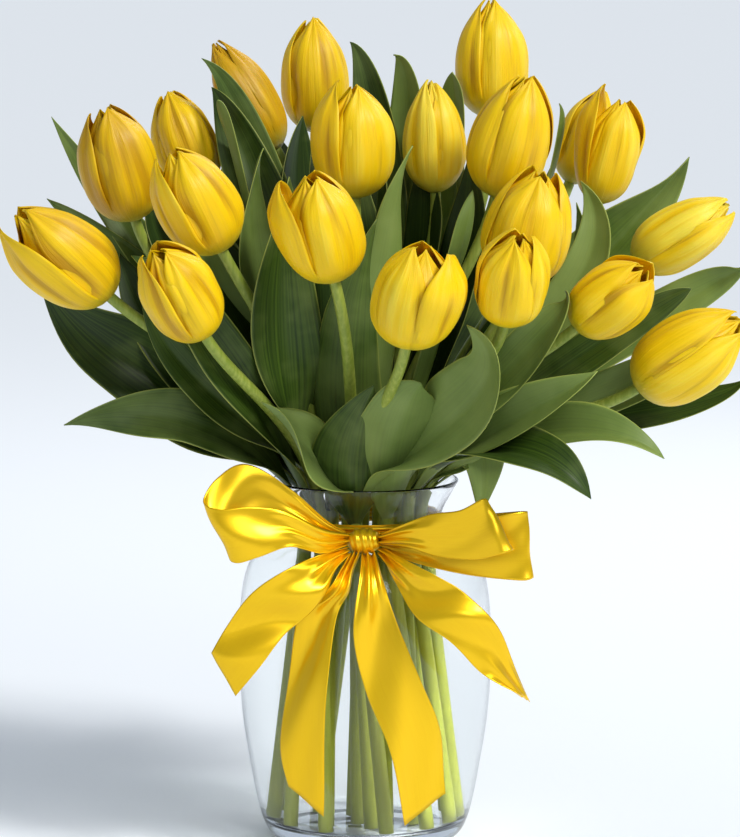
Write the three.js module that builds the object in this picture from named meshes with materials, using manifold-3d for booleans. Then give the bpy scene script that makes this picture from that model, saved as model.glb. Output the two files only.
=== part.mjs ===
// A bunch of yellow tulips in a clear glass vase of water, with a satin bow round the neck.
// Units are millimetres and +Z is up. The origin is the middle of the vase's foot, and the front faces -Y.
import * as THREE from "three";
import { mergeVertices } from "three/addons/utils/BufferGeometryUtils.js";
import Module from "manifold-3d";

const wasm = await Module();
wasm.setup();

// Vase: the outer outline from foot to lip as [radius, height], and the glass.
const VASE_OUTLINE = [
  [42, 0], [48.5, 2], [53, 8], [56.6, 20], [60.4, 40], [64.6, 68], [66.3, 102],
  [64.4, 131], [59.5, 147.5], [50, 155.5], [41.5, 160.5], [39.3, 166], [41.2, 175], [48.6, 188.6],
];
const VASE_WALL = 3;
const VASE_FLOOR = 10;
const VASE_SIDES = 24;
const INNER_CORNER = 17; // the wall's inner face comes down to this height, then rounds into the floor
const CORNER_STEPS = [[2.2, 2.2], [7, 0]]; // of the rounding: in from the wall and up from the floor
const WATER_LEVEL = 157;
const WATER_GAP = 0.45; // between the water and the glass
const SEAT_GAP = 0.35; // between pieces that rest on each other
const HOLE_GAP = 0.4; // round a stem in the water
const HOLE_DEPTH = 2; // past the stem's foot

// Stems: where they pass the neck of the vase, and their thickness.
const NECK_HEIGHT = 163;
const FOOT_SPREAD = 1.36; // how much wider the stems stand on the floor than in the neck
const FOOT_TURN = 22; // degrees that the sheaf is turned from the neck to the floor
const STEM_FOOT_R = 3.9;
const STEM_TOP_R = 3.1;
const STEM_SIDES = 6;
const STEM_STEPS = 4; // above the neck

// Tulips: name, ring and angle in the neck, seat of the bloom, its axis, its length and radius, how open it
// is (0 to 1), and how far its nearest petal is turned away from the front, in degrees.
const TULIPS = [
  ["01", 30, -168, [-130, -35, 288], [-0.65, -0.34, 0.67], 64, 22, 0.45, 45],
  ["02", 30, 160, [-119, 6, 324], [-0.26, -0.17, 0.95], 62, 20.5, 0.5, 25],
  ["03", 18.5, 120, [-86, 44, 338], [-0.34, 0, 0.94], 56, 17, 0.3, 10],
  ["04", 18.5, -155, [-72, -45, 312], [-0.4, -0.24, 0.88], 61, 22, 0.38, 35],
  ["05", 30, -138, [-80, -78, 273], [-0.33, -0.5, 0.8], 60, 21, 0.5, 40],
  ["06", 30, 128, [-43, 54, 358], [-0.44, 0, 0.9], 65, 18, 0.15, -35],
  ["07", 30, 98, [-26, 82, 366], [-0.04, 0, 1], 61, 17.5, 0.1, 10],
  ["08", 7, -130, [-5, -15, 337], [-0.02, -0.15, 0.99], 62, 20.5, 0.2, 35],
  ["09", 18.5, -105, [-15, -80, 300], [-0.22, -0.3, 0.93], 61, 22, 0.5, 30],
  ["10", 7, 100, [37, 30, 337], [-0.04, -0.09, 1], 60, 16, 0.08, 60],
  ["11", 30, 62, [66, 68, 374], [0.05, 0, 1], 63, 20.5, 0.06, 35],
  ["12", 7, -10, [67, -10, 337], [0.22, -0.14, 0.96], 66, 20.5, 0.15, 30],
  ["13", 30, 34, [108, 80, 339], [0.26, 0.05, 0.96], 56, 15, 0.15, 0],
  ["14", 18.5, 5, [122, 35, 331], [0.23, -0.09, 0.97], 60, 19, 0.38, -30],
  ["15", 18.5, -50, [76, -50, 296], [0.22, -0.2, 0.96], 61, 21.5, 0.5, -10],
  ["16", 30, -68, [69, -96, 281], [0.13, -0.48, 0.87], 54, 19, 0.55, -25],
  ["17", 30, -98, [20.5, -98, 270], [0.16, -0.38, 0.91], 59, 23, 0.48, -50],
  ["18", 30, -42, [106, -64, 275], [0.68, -0.36, 0.64], 52, 16.5, 0.4, 50],
  ["19", 30, 8, [140, 12, 301], [0.84, -0.09, 0.53], 57, 16.5, 0.15, 60],
  ["20", 30, -18, [138, -45, 242], [0.78, -0.2, 0.59], 62, 21.5, 0.3, 50],
].map(([id, ring, turn, seat, axis, length, radius, open, facing]) => {
  return { id, ring, turn, seat, axis, length, radius, open, facing };
});
const STEM_RISE = 0.42; // share of the way that a stem keeps straight above the neck
const STEM_REACH = 0.3; // and under its bloom
const CURVE_STEP = 0.005; // share of a stem's curve, in the search for a height on it

// Blooms: a round-bottomed cup that parts into three outer petals, with three inner ones standing in it.
const CALYX_R = 4;
const CUP_ROWS = [0, 0.045, 0.12]; // shares of the length; the petals part at the last
const BELLY_AT = 0.42; // where a bloom is widest
const CUP_ROUNDNESS = 2.6;
const CLOSING = { shut: 0.86, open: 0.26, sharp: 2.2 }; // how far the radius shrinks from belly to tips
const TIP_R = 1.2; // least distance of a tip from the bloom's axis
const PETAL_THICK = 1;
// A whorl's columns and rows, its height, its turn, how far inwards it stands, and how far the tips of an
// open bloom bend out, at least and at most. The inner whorl never bends out further than the outer one.
const OUTER = { across: 4, rows: [0.32, 0.6, 0.86], reach: 1, turn: 0, setIn: 0, flare: [1.6, 4.2] };
const INNER = { across: 2, rows: [0.45, 0.82], reach: 0.97, turn: 60, setIn: 2.6, flare: [0, 1.6] };
// The outer petal that peels off a bloom, and by how many mm at its tip.
const PEELING = { "01": [2, 4], "09": [2, 9], 14: [1, 4], 17: [1, 6], 18: [0, 3] };
const HALF_ANGLE = 59; // degrees, of a petal where it is broadest
const PETAL_SHORTER = 0.1; // share of the length by which a petal may be shorter than its neighbours
const PETAL_TUCK = 1; // mm that the edges of a petal bend inwards
const TUCK_BY = 0.33; // share of the petal where they have done so
const TIP_SHARPNESS = 5;

// Leaves: the tulip that each grows on, the height where it leaves the stem, a point that its midrib passes,
// its tip, its width, and how far the blade twists towards the front (0 to 1).
const LEAVES = [
  ["18", 184, [74, -80, 224], [112, -98, 193], 31, 0.5],
  ["17", 166, [-8, -57, 204], [6, -84, 242], 40, 0],
  ["16", 168, [20, -64, 222], [34, -82, 250], 33, 0],
  ["09", 168, [-26, -72, 221], [-54, -94, 236], 27, 0.2],
  ["17", 174, [56, -86, 238], [52, -108, 283], 42, 0],
  ["08", 172, [-9, -34, 256], [6, -44, 328], 36, 0],
  ["04", 172, [-50, -38, 272], [-48, -56, 344], 44, 0.8],
  ["05", 170, [-80, -56, 262], [-124, -60, 305], 32, 0.9],
  ["18", 180, [78, -72, 230], [117, -92, 256], 24, 1],
  ["20", 186, [104, -62, 226], [152, -70, 209], 27, 0.8],
  ["01", 172, [-90, -26, 234], [-153, -44, 222], 23, 1],
  ["02", 172, [-104, 6, 236], [-172, 4, 288], 36, 1],
  ["04", 178, [-82, -28, 240], [-114, -30, 296], 21, 1],
  ["03", 176, [-110, 28, 292], [-166, 12, 334], 20, 1],
  ["02", 180, [-122, 34, 278], [-165, 40, 376], 18, 1],
  ["19", 186, [140, -10, 224], [196, -18, 244], 24, 0.8],
  ["18", 178, [118, -34, 262], [166, -36, 292], 24, 1],
  ["19", 178, [152, 34, 262], [198, 26, 292], 22, 1],
  ["13", 178, [120, 62, 286], [172, 56, 353], 32, 1],
  ["08", 178, [14, -42, 300], [30, -50, 362], 22, 0],
  ["03", 182, [-62, 12, 330], [-76, 6, 386], 20, 0],
  ["06", 174, [-60, 40, 330], [-86, 30, 407], 30, 0.9],
  ["07", 176, [6, 46, 340], [-6, 50, 414], 26, 0.5],
  ["10", 178, [24, 50, 346], [18, 54, 408], 26, 0],
  ["11", 176, [46, 56, 330], [48, 54, 397], 24, 0],
  ["11", 182, [92, 40, 318], [106, 38, 382], 18, 0],
  ["12", 180, [98, -14, 278], [113, -6, 345], 20, 1],
  ["12", 186, [44, -22, 290], [55, -20, 341], 18, 0],
  ["16", 178, [84, -72, 262], [106, -66, 292], 22, 1],
  ["06", 180, [-52, 30, 300], [-40, 26, 372], 34, 0.8],
  ["10", 190, [-2, 34, 286], [-8, 38, 356], 34, 0],
  ["13", 182, [86, 38, 268], [92, 34, 340], 28, 0.3],
  ["04", 188, [-56, -12, 300], [-52, -10, 362], 30, 0.6],
  ["03", 190, [-84, 26, 262], [-104, 18, 318], 30, 1],
  ["20", 182, [128, -44, 262], [158, -38, 300], 24, 1],
  ["13", 174, [106, 88, 240], [148, 116, 262], 30, 0],
  ["11", 172, [62, 96, 258], [88, 146, 300], 32, 0],
  ["07", 172, [-22, 96, 240], [-38, 156, 268], 34, 0],
  ["07", 180, [14, 104, 214], [22, 166, 204], 30, 0],
  ["06", 180, [-72, 88, 250], [-112, 136, 288], 30, 0],
  ["02", 186, [-104, 64, 218], [-160, 88, 208], 28, 0.5],
  ["19", 184, [118, 66, 216], [166, 86, 200], 28, 0.5],
  ["10", 184, [44, 78, 290], [40, 112, 344], 26, 0],
].map(([on, from, over, tip, width, twist]) => ({ on, from, over, tip, width, twist }));
const LEAF_THICK = 0.9;
const LEAF_ACROSS = 4;
const LEAF_ROWS = [0, 0.1, 0.28, 0.46, 0.64, 0.83, 1];
const LEAF_FRONT = [0, -0.86, 0.5]; // where a fully twisted blade looks
const LEAF_ROOT = 1.8; // half width inside the stem
const LEAF_LEAN = 30; // degrees from the stem where the leaf leaves it
const LEAF_RISE = 0.42; // share of the way to its middle that it keeps this direction
const LEAF_MIDDLE = 0.6; // share of the length where the midrib passes its middle point
const LEAF_WIDEST = 0.46; // share of the length
const LEAF_OPEN_BY = 0.5; // share of the length where the gutter has opened
const LEAF_NEAR = 0.02; // share of the length either side that the midrib's direction is taken over
const LEAF_HUG = 7; // radius of the gutter by the stem
const LEAF_FLAT = 1.1; // radius of the blade's curve, in widths
// Depth of the edges' wave in widths, its radians along, across and from leaf to leaf, and the share of the
// length where it is full.
const LEAF_WAVE = { deep: 0.05, along: 9, across: 2.6, apart: 5, grown: 0.4 };
const LEAF_CLEAR = 0.5; // kept free on both faces of a blade
const LEAF_FREE = 0.2; // share of the length from which a blade is clear of its own stem too
const SWING_STEP = 3; // degrees that a leaf is bent by, until it is clear
const SWING_MOST = 7; // steps each way
const LEAF_TRIM = [1, 0.85, 0.7]; // share of the width that is tried when no bend is clear
const BLADE_THINNING = 0.3; // share of its thickness that a blade loses towards its edges

// Ribbon: each strip as pairs of edge points, the upper or left edge first, from the knot outwards.
const RIBBON_THICK = 0.8;
const RIBBON_STEPS = 2; // between two pairs
// The knot's middle, its half sizes, and how far its ends narrow.
const KNOT = { at: [-0.5, -48.5, 164.2], half: [8, 6.2, 6.2], sides: 8, narrow: 0.22 };
const KNOT_ROWS = [-1, -0.6, 0, 0.6, 1]; // shares of its half length where rings are set
const BAND = { low: 160.6, high: 171, thick: 1.1 };
const RIBBONS = {
  bow_loop_left: [
    [[-8.9, -52, 168.5], [-8.9, -52, 162.6]], [[-22, -63, 173], [-22, -64, 160.5]],
    [[-40, -71, 183], [-38, -73, 165]], [[-58, -77, 186], [-53, -80, 161]],
    [[-73, -78, 185], [-64, -81, 158]], [[-80, -72, 189], [-69, -76, 161]],
    [[-74, -64, 199], [-65, -68, 173]], [[-60, -59, 205], [-52, -63, 180]],
    [[-38, -55.5, 192], [-36, -58, 174]], [[-20, -52.5, 176], [-20, -54, 166]],
    [[-8.9, -48.5, 168.5], [-8.9, -48.5, 163]],
  ],
  bow_loop_right: [
    [[8, -53, 168.6], [8, -53, 163]], [[20, -61, 175], [21, -62, 163]],
    [[34, -67, 181], [38, -69, 159]], [[48, -74, 184], [56, -77, 159]],
    [[58, -79, 190], [68, -83, 163]], [[63, -76, 190], [73, -79, 164]],
    [[58, -70, 185], [66, -73, 161]], [[40, -63, 179], [44, -65.5, 161]],
    [[20, -55.5, 172], [20, -56.5, 163]], [[8, -50.4, 168.4], [8, -50.4, 163]],
  ],
  bow_loop_back: [
    [[8, -48, 168], [8, -48, 160]], [[26, -54, 171], [26, -56, 154]],
    [[52, -60, 176], [52, -63, 149]], [[76, -63, 181], [78, -68, 147]],
    [[84, -59, 181], [84, -64, 148]], [[76, -53, 180], [77, -58, 151]],
    [[52, -50, 177], [52, -52, 152]], [[26, -48.5, 171], [26, -50, 156]],
    [[8, -45.6, 168], [8, -45.6, 161]],
  ],
  bow_tail_far_left: [
    [[-8.9, -51, 161.4], [-8.9, -51, 157.6]], [[-24, -64, 159], [-17, -62, 148.5]],
    [[-41, -71, 153], [-27, -71, 132]], [[-57, -74, 142], [-41, -74, 120]],
    [[-70, -73, 124], [-53, -74, 104]], [[-77, -71, 111], [-65, -73, 89]],
  ],
  bow_tail_left: [
    [[-7, -50.5, 158.1], [-2.4, -50.5, 158.1]], [[-12, -61, 151.5], [-6, -61.5, 150.5]],
    [[-18, -67, 143], [-8, -67.5, 141]],
    [[-32, -61, 130], [-14, -66, 128]], [[-38, -60, 100], [-17, -68.5, 98]],
    [[-42, -59, 65], [-19, -68, 64]], [[-38, -60, 40], [-21, -67, 25]],
  ],
  bow_tail_right: [
    [[-1.4, -51, 158.1], [5.4, -51, 158.1]], [[-2.5, -63.5, 147], [9, -64.5, 147]],
    [[-6, -70, 120], [16, -68, 126]], [[0, -70.5, 92], [27, -67, 98]],
    [[11, -70, 62], [38, -63, 68]], [[20, -69, 21], [41, -61, 36]],
  ],
  bow_tail_far_right: [
    [[8, -51.5, 161.4], [8, -51.5, 157.4]], [[22, -68, 157], [15, -67, 146]],
    [[38, -77, 150], [27, -77, 130]], [[52, -79, 141], [42, -82, 119]],
    [[66, -75, 122], [57, -84, 104]], [[84, -64, 84], [77, -80, 90]],
  ],
};

const COLOURS = {
  petal: { color: 0xf4c90d, roughness: 0.45, metalness: 0 },
  leaf: { color: 0x4f6f31, roughness: 0.5, metalness: 0 },
  glass: { color: 0xe9f0f2, roughness: 0.05, metalness: 0 },
  water: { color: 0xdfeef0, roughness: 0.05, metalness: 0 },
  ribbon: { color: 0xf3c80e, roughness: 0.3, metalness: 0 },
};

const UP = new THREE.Vector3(0, 0, 1);
const radians = THREE.MathUtils.degToRad;
const vector = (list) => new THREE.Vector3(...list);
const shift = (point, ...moves) => moves.reduce((p, [v, by]) => p.addScaledVector(v, by), point.clone());
const cross = (a, b) => new THREE.Vector3().crossVectors(a, b).normalize();
// An even, repeatable value from -1 to 1 for item k.
const sway = (k) => Math.sin(k * 12.9898 + 4.1);
// The same from 0 to 1.
const share = (k) => 0.5 + 0.5 * sway(k);
const smooth = (x) => {
  const t = Math.min(1, Math.max(0, x));
  return t * t * (3 - 2 * t);
};

// A point on the cubic curve with those four control points.
function cubic([a, b, c, d], t) {
  const s = 1 - t;
  return shift(new THREE.Vector3(), [a, s * s * s], [b, 3 * s * s * t], [c, 3 * s * t * t], [d, t * t * t]);
}

// A closed three.js geometry as a manifold-3d solid.
function solid(geometry) {
  const bare = geometry.clone();
  bare.deleteAttribute("normal");
  bare.deleteAttribute("uv");
  const merged = mergeVertices(bare, 1e-3);
  const corners = [];
  for (let i = 0; i < merged.index.count; i += 3) {
    const [a, b, c] = [0, 1, 2].map((k) => merged.index.getX(i + k));
    if (a !== b && b !== c && c !== a) corners.push(a, b, c);
  }
  const vertProperties = new Float32Array(merged.attributes.position.array);
  const triVerts = new Uint32Array(corners);
  return new wasm.Manifold(new wasm.Mesh({ numProp: 3, vertProperties, triVerts }));
}

// A manifold-3d solid as a three.js geometry.
function geometryOf(body) {
  const made = body.getMesh();
  const points = new Float32Array(made.numVert * 3);
  for (let i = 0; i < made.numVert; i++) {
    points.set(made.vertProperties.subarray(i * made.numProp, i * made.numProp + 3), i * 3);
  }
  return new THREE.BufferGeometry()
    .setAttribute("position", new THREE.BufferAttribute(points, 3))
    .setIndex(new THREE.BufferAttribute(made.triVerts, 1));
}

function geometryFrom(points, corners) {
  return new THREE.BufferGeometry().setFromPoints(points).setIndex(corners);
}

// A closed skin over rings of equal count, each ring going anticlockwise seen from the last ring.
function skin(rings) {
  const sides = rings[0].length;
  const corners = [];
  for (let j = 0; j + 1 < rings.length; j++) {
    for (let i = 0; i < sides; i++) {
      const a = j * sides + i;
      const b = j * sides + ((i + 1) % sides);
      corners.push(a, b, b + sides, a, b + sides, a + sides);
    }
  }
  const last = (rings.length - 1) * sides;
  for (let i = 1; i + 1 < sides; i++) {
    corners.push(0, i + 1, i, last, last + i, last + i + 1);
  }
  return geometryFrom(rings.flat(), corners);
}

// A thin closed blade that ends in one tip point. at(u, t) gives its middle face at u from -1 to 1 across and
// t along, and face(u, t) the direction of its upper side. Its edges are sharp.
function blade(at, face, rows, across, thick) {
  const points = [];
  const corners = [];
  const add = (p) => points.push(p) - 1;
  const lines = rows.slice(0, -1).map((t) => {
    const upper = [];
    const lower = [];
    for (let i = 0; i <= across; i++) {
      const u = (2 * i) / across - 1;
      const p = at(u, t);
      const edge = i === 0 || i === across;
      const half = (thick / 2) * (1 - BLADE_THINNING * u * u);
      upper.push(add(edge ? p : shift(p, [face(u, t), half])));
      lower.push(edge ? upper[i] : add(shift(p, [face(u, t), -half])));
    }
    return { upper, lower };
  });
  const tip = add(at(0, 1));
  const quad = (a, b, c, d) => corners.push(a, b, c, a, c, d);
  lines.forEach(({ upper, lower }, j) => {
    const next = lines[j + 1];
    for (let i = 0; i < across; i++) {
      if (next) {
        quad(upper[i], upper[i + 1], next.upper[i + 1], next.upper[i]);
        corners.push(lower[i], next.lower[i + 1], lower[i + 1], lower[i], next.lower[i], next.lower[i + 1]);
      } else {
        corners.push(upper[i], upper[i + 1], tip, lower[i + 1], lower[i], tip);
      }
    }
  });
  const [{ upper, lower }] = lines;
  for (let i = 0; i < across; i++) {
    if (i > 0) corners.push(upper[i], lower[i], lower[i + 1]);
    if (i + 1 < across) corners.push(upper[i], lower[i + 1], upper[i + 1]);
  }
  return geometryFrom(points, corners);
}

// The vase's outline and, a wall inside it, its inner face, both from foot to lip.
function vaseOutlines() {
  const outer = VASE_OUTLINE.map(([r, z]) => new THREE.Vector2(r, z));
  const inner = outer.map((p, i) => {
    const before = outer[Math.max(0, i - 1)];
    const after = outer[Math.min(outer.length - 1, i + 1)];
    const along = after.clone().sub(before).normalize();
    return new THREE.Vector2(p.x - along.y * VASE_WALL, p.y + along.x * VASE_WALL);
  });
  return { outer, inner: inner.filter((p) => p.y > INNER_CORNER) };
}

// The radius of the vase's outside at a height.
function vaseRadius(z) {
  const i = VASE_OUTLINE.findIndex((point) => point[1] >= z);
  const [low, high] = [VASE_OUTLINE[i - 1], VASE_OUTLINE[i]];
  return THREE.MathUtils.mapLinear(z, low[1], high[1], low[0], high[0]);
}

function turned(profile) {
  return new THREE.LatheGeometry(profile, VASE_SIDES).rotateX(Math.PI / 2);
}

function vase() {
  const { outer, inner } = vaseOutlines();
  const corner = inner[0];
  const lip = outer.at(-1);
  return turned([
    new THREE.Vector2(0, 0), ...outer,
    new THREE.Vector2(lip.x - VASE_WALL / 2, lip.y + VASE_WALL / 2),
    ...inner.reverse(),
    ...CORNER_STEPS.map(([inwards, up]) => new THREE.Vector2(corner.x - inwards, VASE_FLOOR + up)),
    new THREE.Vector2(0, VASE_FLOOR),
  ]);
}

function waterBody(holes) {
  const { inner } = vaseOutlines();
  const wet = inner.filter((p) => p.y < WATER_LEVEL - 1);
  const above = inner[wet.length];
  const last = wet.at(-1);
  const brim = THREE.MathUtils.mapLinear(WATER_LEVEL, last.y, above.y, last.x, above.x);
  const low = VASE_FLOOR + SEAT_GAP;
  const side = (x, y) => new THREE.Vector2(x - WATER_GAP, y);
  const profile = [
    new THREE.Vector2(0, low),
    ...CORNER_STEPS.toReversed().map(([inwards, up]) => side(inner[0].x - inwards, low + up)),
    ...wet.map((p) => side(p.x, p.y)),
    side(brim, WATER_LEVEL),
    new THREE.Vector2(0, WATER_LEVEL),
  ];
  return holes.reduce((body, hole) => body.subtract(hole), solid(turned(profile)));
}

// A tulip's stem: straight from the floor to the neck of the vase, then on a cubic curve to the bloom.
function stemPath({ ring, turn, seat, axis }) {
  const polar = (r, angle, z) => new THREE.Vector3(r, 0, z).applyAxisAngle(UP, radians(angle));
  const foot = polar(ring * FOOT_SPREAD, turn + FOOT_TURN, VASE_FLOOR + 2 * SEAT_GAP);
  const neck = polar(ring, turn, NECK_HEIGHT);
  const top = vector(seat);
  const up = neck.clone().sub(foot).normalize();
  const way = neck.distanceTo(top);
  const rise = shift(neck, [up, way * STEM_RISE]);
  return { foot, curve: [neck, rise, shift(top, [vector(axis).normalize(), -way * STEM_REACH]), top] };
}

// The stem's points and directions, as rings are set along it.
function stemStations(path) {
  const points = [path.foot];
  for (let i = 0; i <= STEM_STEPS; i++) points.push(cubic(path.curve, i / STEM_STEPS));
  return points.map((p, i) => {
    const before = points[Math.max(0, i - 1)];
    const after = points[Math.min(points.length - 1, i + 1)];
    return { p, along: after.clone().sub(before).normalize() };
  });
}

function stem(tulip, grow = 0, deeper = 0) {
  const stations = stemStations(stemPath(tulip));
  stations[0].p.z -= deeper;
  stations.at(-1).along = vector(tulip.axis).normalize();
  const rings = stations.map(({ p, along }, j) => {
    const side = cross(new THREE.Vector3(0, 1, 0), along);
    const other = cross(along, side);
    const r = THREE.MathUtils.lerp(STEM_FOOT_R, STEM_TOP_R, j / (stations.length - 1)) + grow;
    return Array.from({ length: STEM_SIDES }, (_, i) => {
      const a = (2 * Math.PI * i) / STEM_SIDES;
      return shift(p, [side, r * Math.cos(a)], [other, r * Math.sin(a)]);
    });
  });
  return skin(rings);
}

// The place and direction of the stem at a height near the neck.
function stemAt(tulip, height) {
  const { curve } = stemPath(tulip);
  let t = 0;
  while (cubic(curve, t).z < height && t < 1) t += CURVE_STEP;
  const p = cubic(curve, t);
  return { p, along: cubic(curve, t + 2 * CURVE_STEP).sub(p).normalize() };
}

// The controls of a leaf's midrib, with its middle and tip swung round the root by two angles, in degrees.
function midrib(leaf, [aside, down]) {
  const tulip = TULIPS.find(({ id }) => id === leaf.on);
  const { p: root, along } = stemAt(tulip, leaf.from);
  const out = vector(leaf.over).sub(root).setZ(0).normalize();
  const swing = (point) => {
    const arm = vector(point).sub(root);
    arm.applyAxisAngle(UP, radians(aside));
    const hinge = cross(UP, new THREE.Vector3(arm.x, arm.y, 0));
    return arm.applyAxisAngle(hinge, radians(down)).add(root);
  };
  const over = swing(leaf.over);
  const tip = swing(leaf.tip);
  const reach = root.distanceTo(over) * LEAF_RISE;
  const leaving = shift(along, [out, Math.tan(radians(LEAF_LEAN))]).normalize();
  const rise = shift(root, [leaving, reach]);
  // The third control puts the curve through the middle point at LEAF_MIDDLE of its run.
  const m = LEAF_MIDDLE;
  const s = 1 - m;
  const bend = shift(over, [root, -(s ** 3)], [rise, -3 * s * s * m], [tip, -(m ** 3)]);
  bend.divideScalar(3 * s * m * m);
  return { controls: [root, rise, bend, tip], across: cross(out.applyAxisAngle(UP, radians(aside)), UP) };
}

// The blade of a leaf: a gutter at the stem that opens into a broad blade and narrows to a tip.
function leafBlade(leaf, swing, share, grow = 0, rows = LEAF_ROWS) {
  const { controls, across } = midrib(leaf, swing);
  const width = leaf.width * share;
  const k = LEAVES.indexOf(leaf);
  const frame = (t, roll) => {
    const ahead = cubic(controls, Math.min(1, t + LEAF_NEAR));
    const along = ahead.sub(cubic(controls, Math.max(0, t - LEAF_NEAR))).normalize();
    const flat = shift(across, [along, -across.dot(along)]).normalize();
    const side = flat.applyAxisAngle(along, roll * smooth(t / LEAF_MIDDLE));
    return { side, face: cross(side, along) };
  };
  const level = frame(LEAF_MIDDLE, 0);
  const front = vector(LEAF_FRONT);
  const roll = leaf.twist * Math.atan2(front.dot(level.side), front.dot(level.face));
  const halfWidth = (t) => {
    if (t < LEAF_WIDEST) return LEAF_ROOT + (width / 2 - LEAF_ROOT) * smooth(t / LEAF_WIDEST);
    return (width / 2) * (1 - ((t - LEAF_WIDEST) / (1 - LEAF_WIDEST)) ** 2);
  };
  const at = (u, t) => {
    const { side, face } = frame(t, roll);
    const curl = THREE.MathUtils.lerp(LEAF_HUG, LEAF_FLAT * width, smooth(t / LEAF_OPEN_BY));
    const angle = (u * halfWidth(t)) / curl;
    const phase = LEAF_WAVE.along * t + LEAF_WAVE.across * u + LEAF_WAVE.apart * sway(k);
    const fade = u * u * smooth(t / LEAF_WAVE.grown) * (1 - t);
    const rise = curl * (1 - Math.cos(angle)) + LEAF_WAVE.deep * width * Math.sin(phase) * fade;
    return shift(cubic(controls, t), [side, curl * Math.sin(angle)], [face, rise]);
  };
  return blade(at, (u, t) => frame(t, roll).face, rows, LEAF_ACROSS, LEAF_THICK + grow);
}

// The bends that are tried for a leaf, the smallest first.
function swings() {
  const list = [];
  for (let a = -SWING_MOST; a <= SWING_MOST; a++) {
    for (let b = -SWING_MOST; b <= SWING_MOST; b++) list.push([a * SWING_STEP, b * SWING_STEP]);
  }
  const size = ([a, b]) => Math.hypot(a, b) + 0.001 * a + 0.0001 * b;
  return list.sort((p, q) => size(p) - size(q));
}

// Grows every leaf on its stem, bent clear of what is already there. Near its root it meets its own stem.
function growLeaves(stems, others) {
  const placed = [...others];
  const bends = swings();
  const freeRows = [LEAF_FREE, ...LEAF_ROWS.filter((t) => t > LEAF_FREE)];
  for (const leaf of LEAVES) {
    const clear = (swing, share, own) => {
      const whole = solid(leafBlade(leaf, swing, share, 2 * LEAF_CLEAR));
      const free = solid(leafBlade(leaf, swing, share, 0, freeRows));
      return placed.every(({ owner, body, isStem }) => {
        if (owner !== leaf.on) return whole.intersect(body).isEmpty();
        return (isStem && !own) || free.intersect(body).isEmpty();
      });
    };
    const tries = [true, false].flatMap((own) => LEAF_TRIM.map((share) => ({ own, share })));
    let found = null;
    for (const { own, share } of tries) {
      const swing = bends.find((bend) => clear(bend, share, own));
      if (swing) {
        found = { swing, share };
        break;
      }
    }
    if (!found) throw new Error("no bend keeps the leaf clear on tulip " + leaf.on);
    const body = solid(leafBlade(leaf, found.swing, found.share));
    placed.push({ owner: leaf.on, body });
    stems.set(leaf.on, stems.get(leaf.on).add(body));
  }
}

// The radius of a bloom at share t of its length.
function bloomRadius({ radius, open }, t) {
  if (t < BELLY_AT) return Math.max(CALYX_R, radius * Math.sqrt(1 - (1 - t / BELLY_AT) ** CUP_ROUNDNESS));
  const above = (t - BELLY_AT) / (1 - BELLY_AT);
  return radius * (1 - THREE.MathUtils.lerp(CLOSING.shut, CLOSING.open, open) * above ** CLOSING.sharp);
}

// A point of petal number n of a whorl, at u from -1 to 1 across it and t along it, moved outwards by lift.
function petalPoint(tulip, whorl, n, u, t, lift) {
  const k = TULIPS.indexOf(tulip);
  const run = (t - CUP_ROWS.at(-1)) / (1 - CUP_ROWS.at(-1));
  const half = HALF_ANGLE * (1 - run ** TIP_SHARPNESS) + (run === 0 ? 60 - HALF_ANGLE : 0);
  const angle = radians(tulip.facing - 90 + whorl.turn + 120 * n + u * half);
  const [peeled, peel] = PEELING[tulip.id] ?? [0, 0];
  const part = whorl === OUTER && n === peeled ? peel : 0;
  const bent = THREE.MathUtils.lerp(...whorl.flare, share(5 * k + 2 * n + whorl.turn));
  const flare = (part + tulip.open * bent) * smooth(run);
  const tall = tulip.length * (whorl.reach - PETAL_SHORTER * share(3 * k + n) * run);
  const tuck = whorl.setIn + PETAL_TUCK * u * u * smooth(run / TUCK_BY);
  const r = Math.max(TIP_R, bloomRadius(tulip, t) - tuck) + flare + lift;
  return new THREE.Vector3(r * Math.cos(angle), r * Math.sin(angle), tall * t);
}

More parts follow.
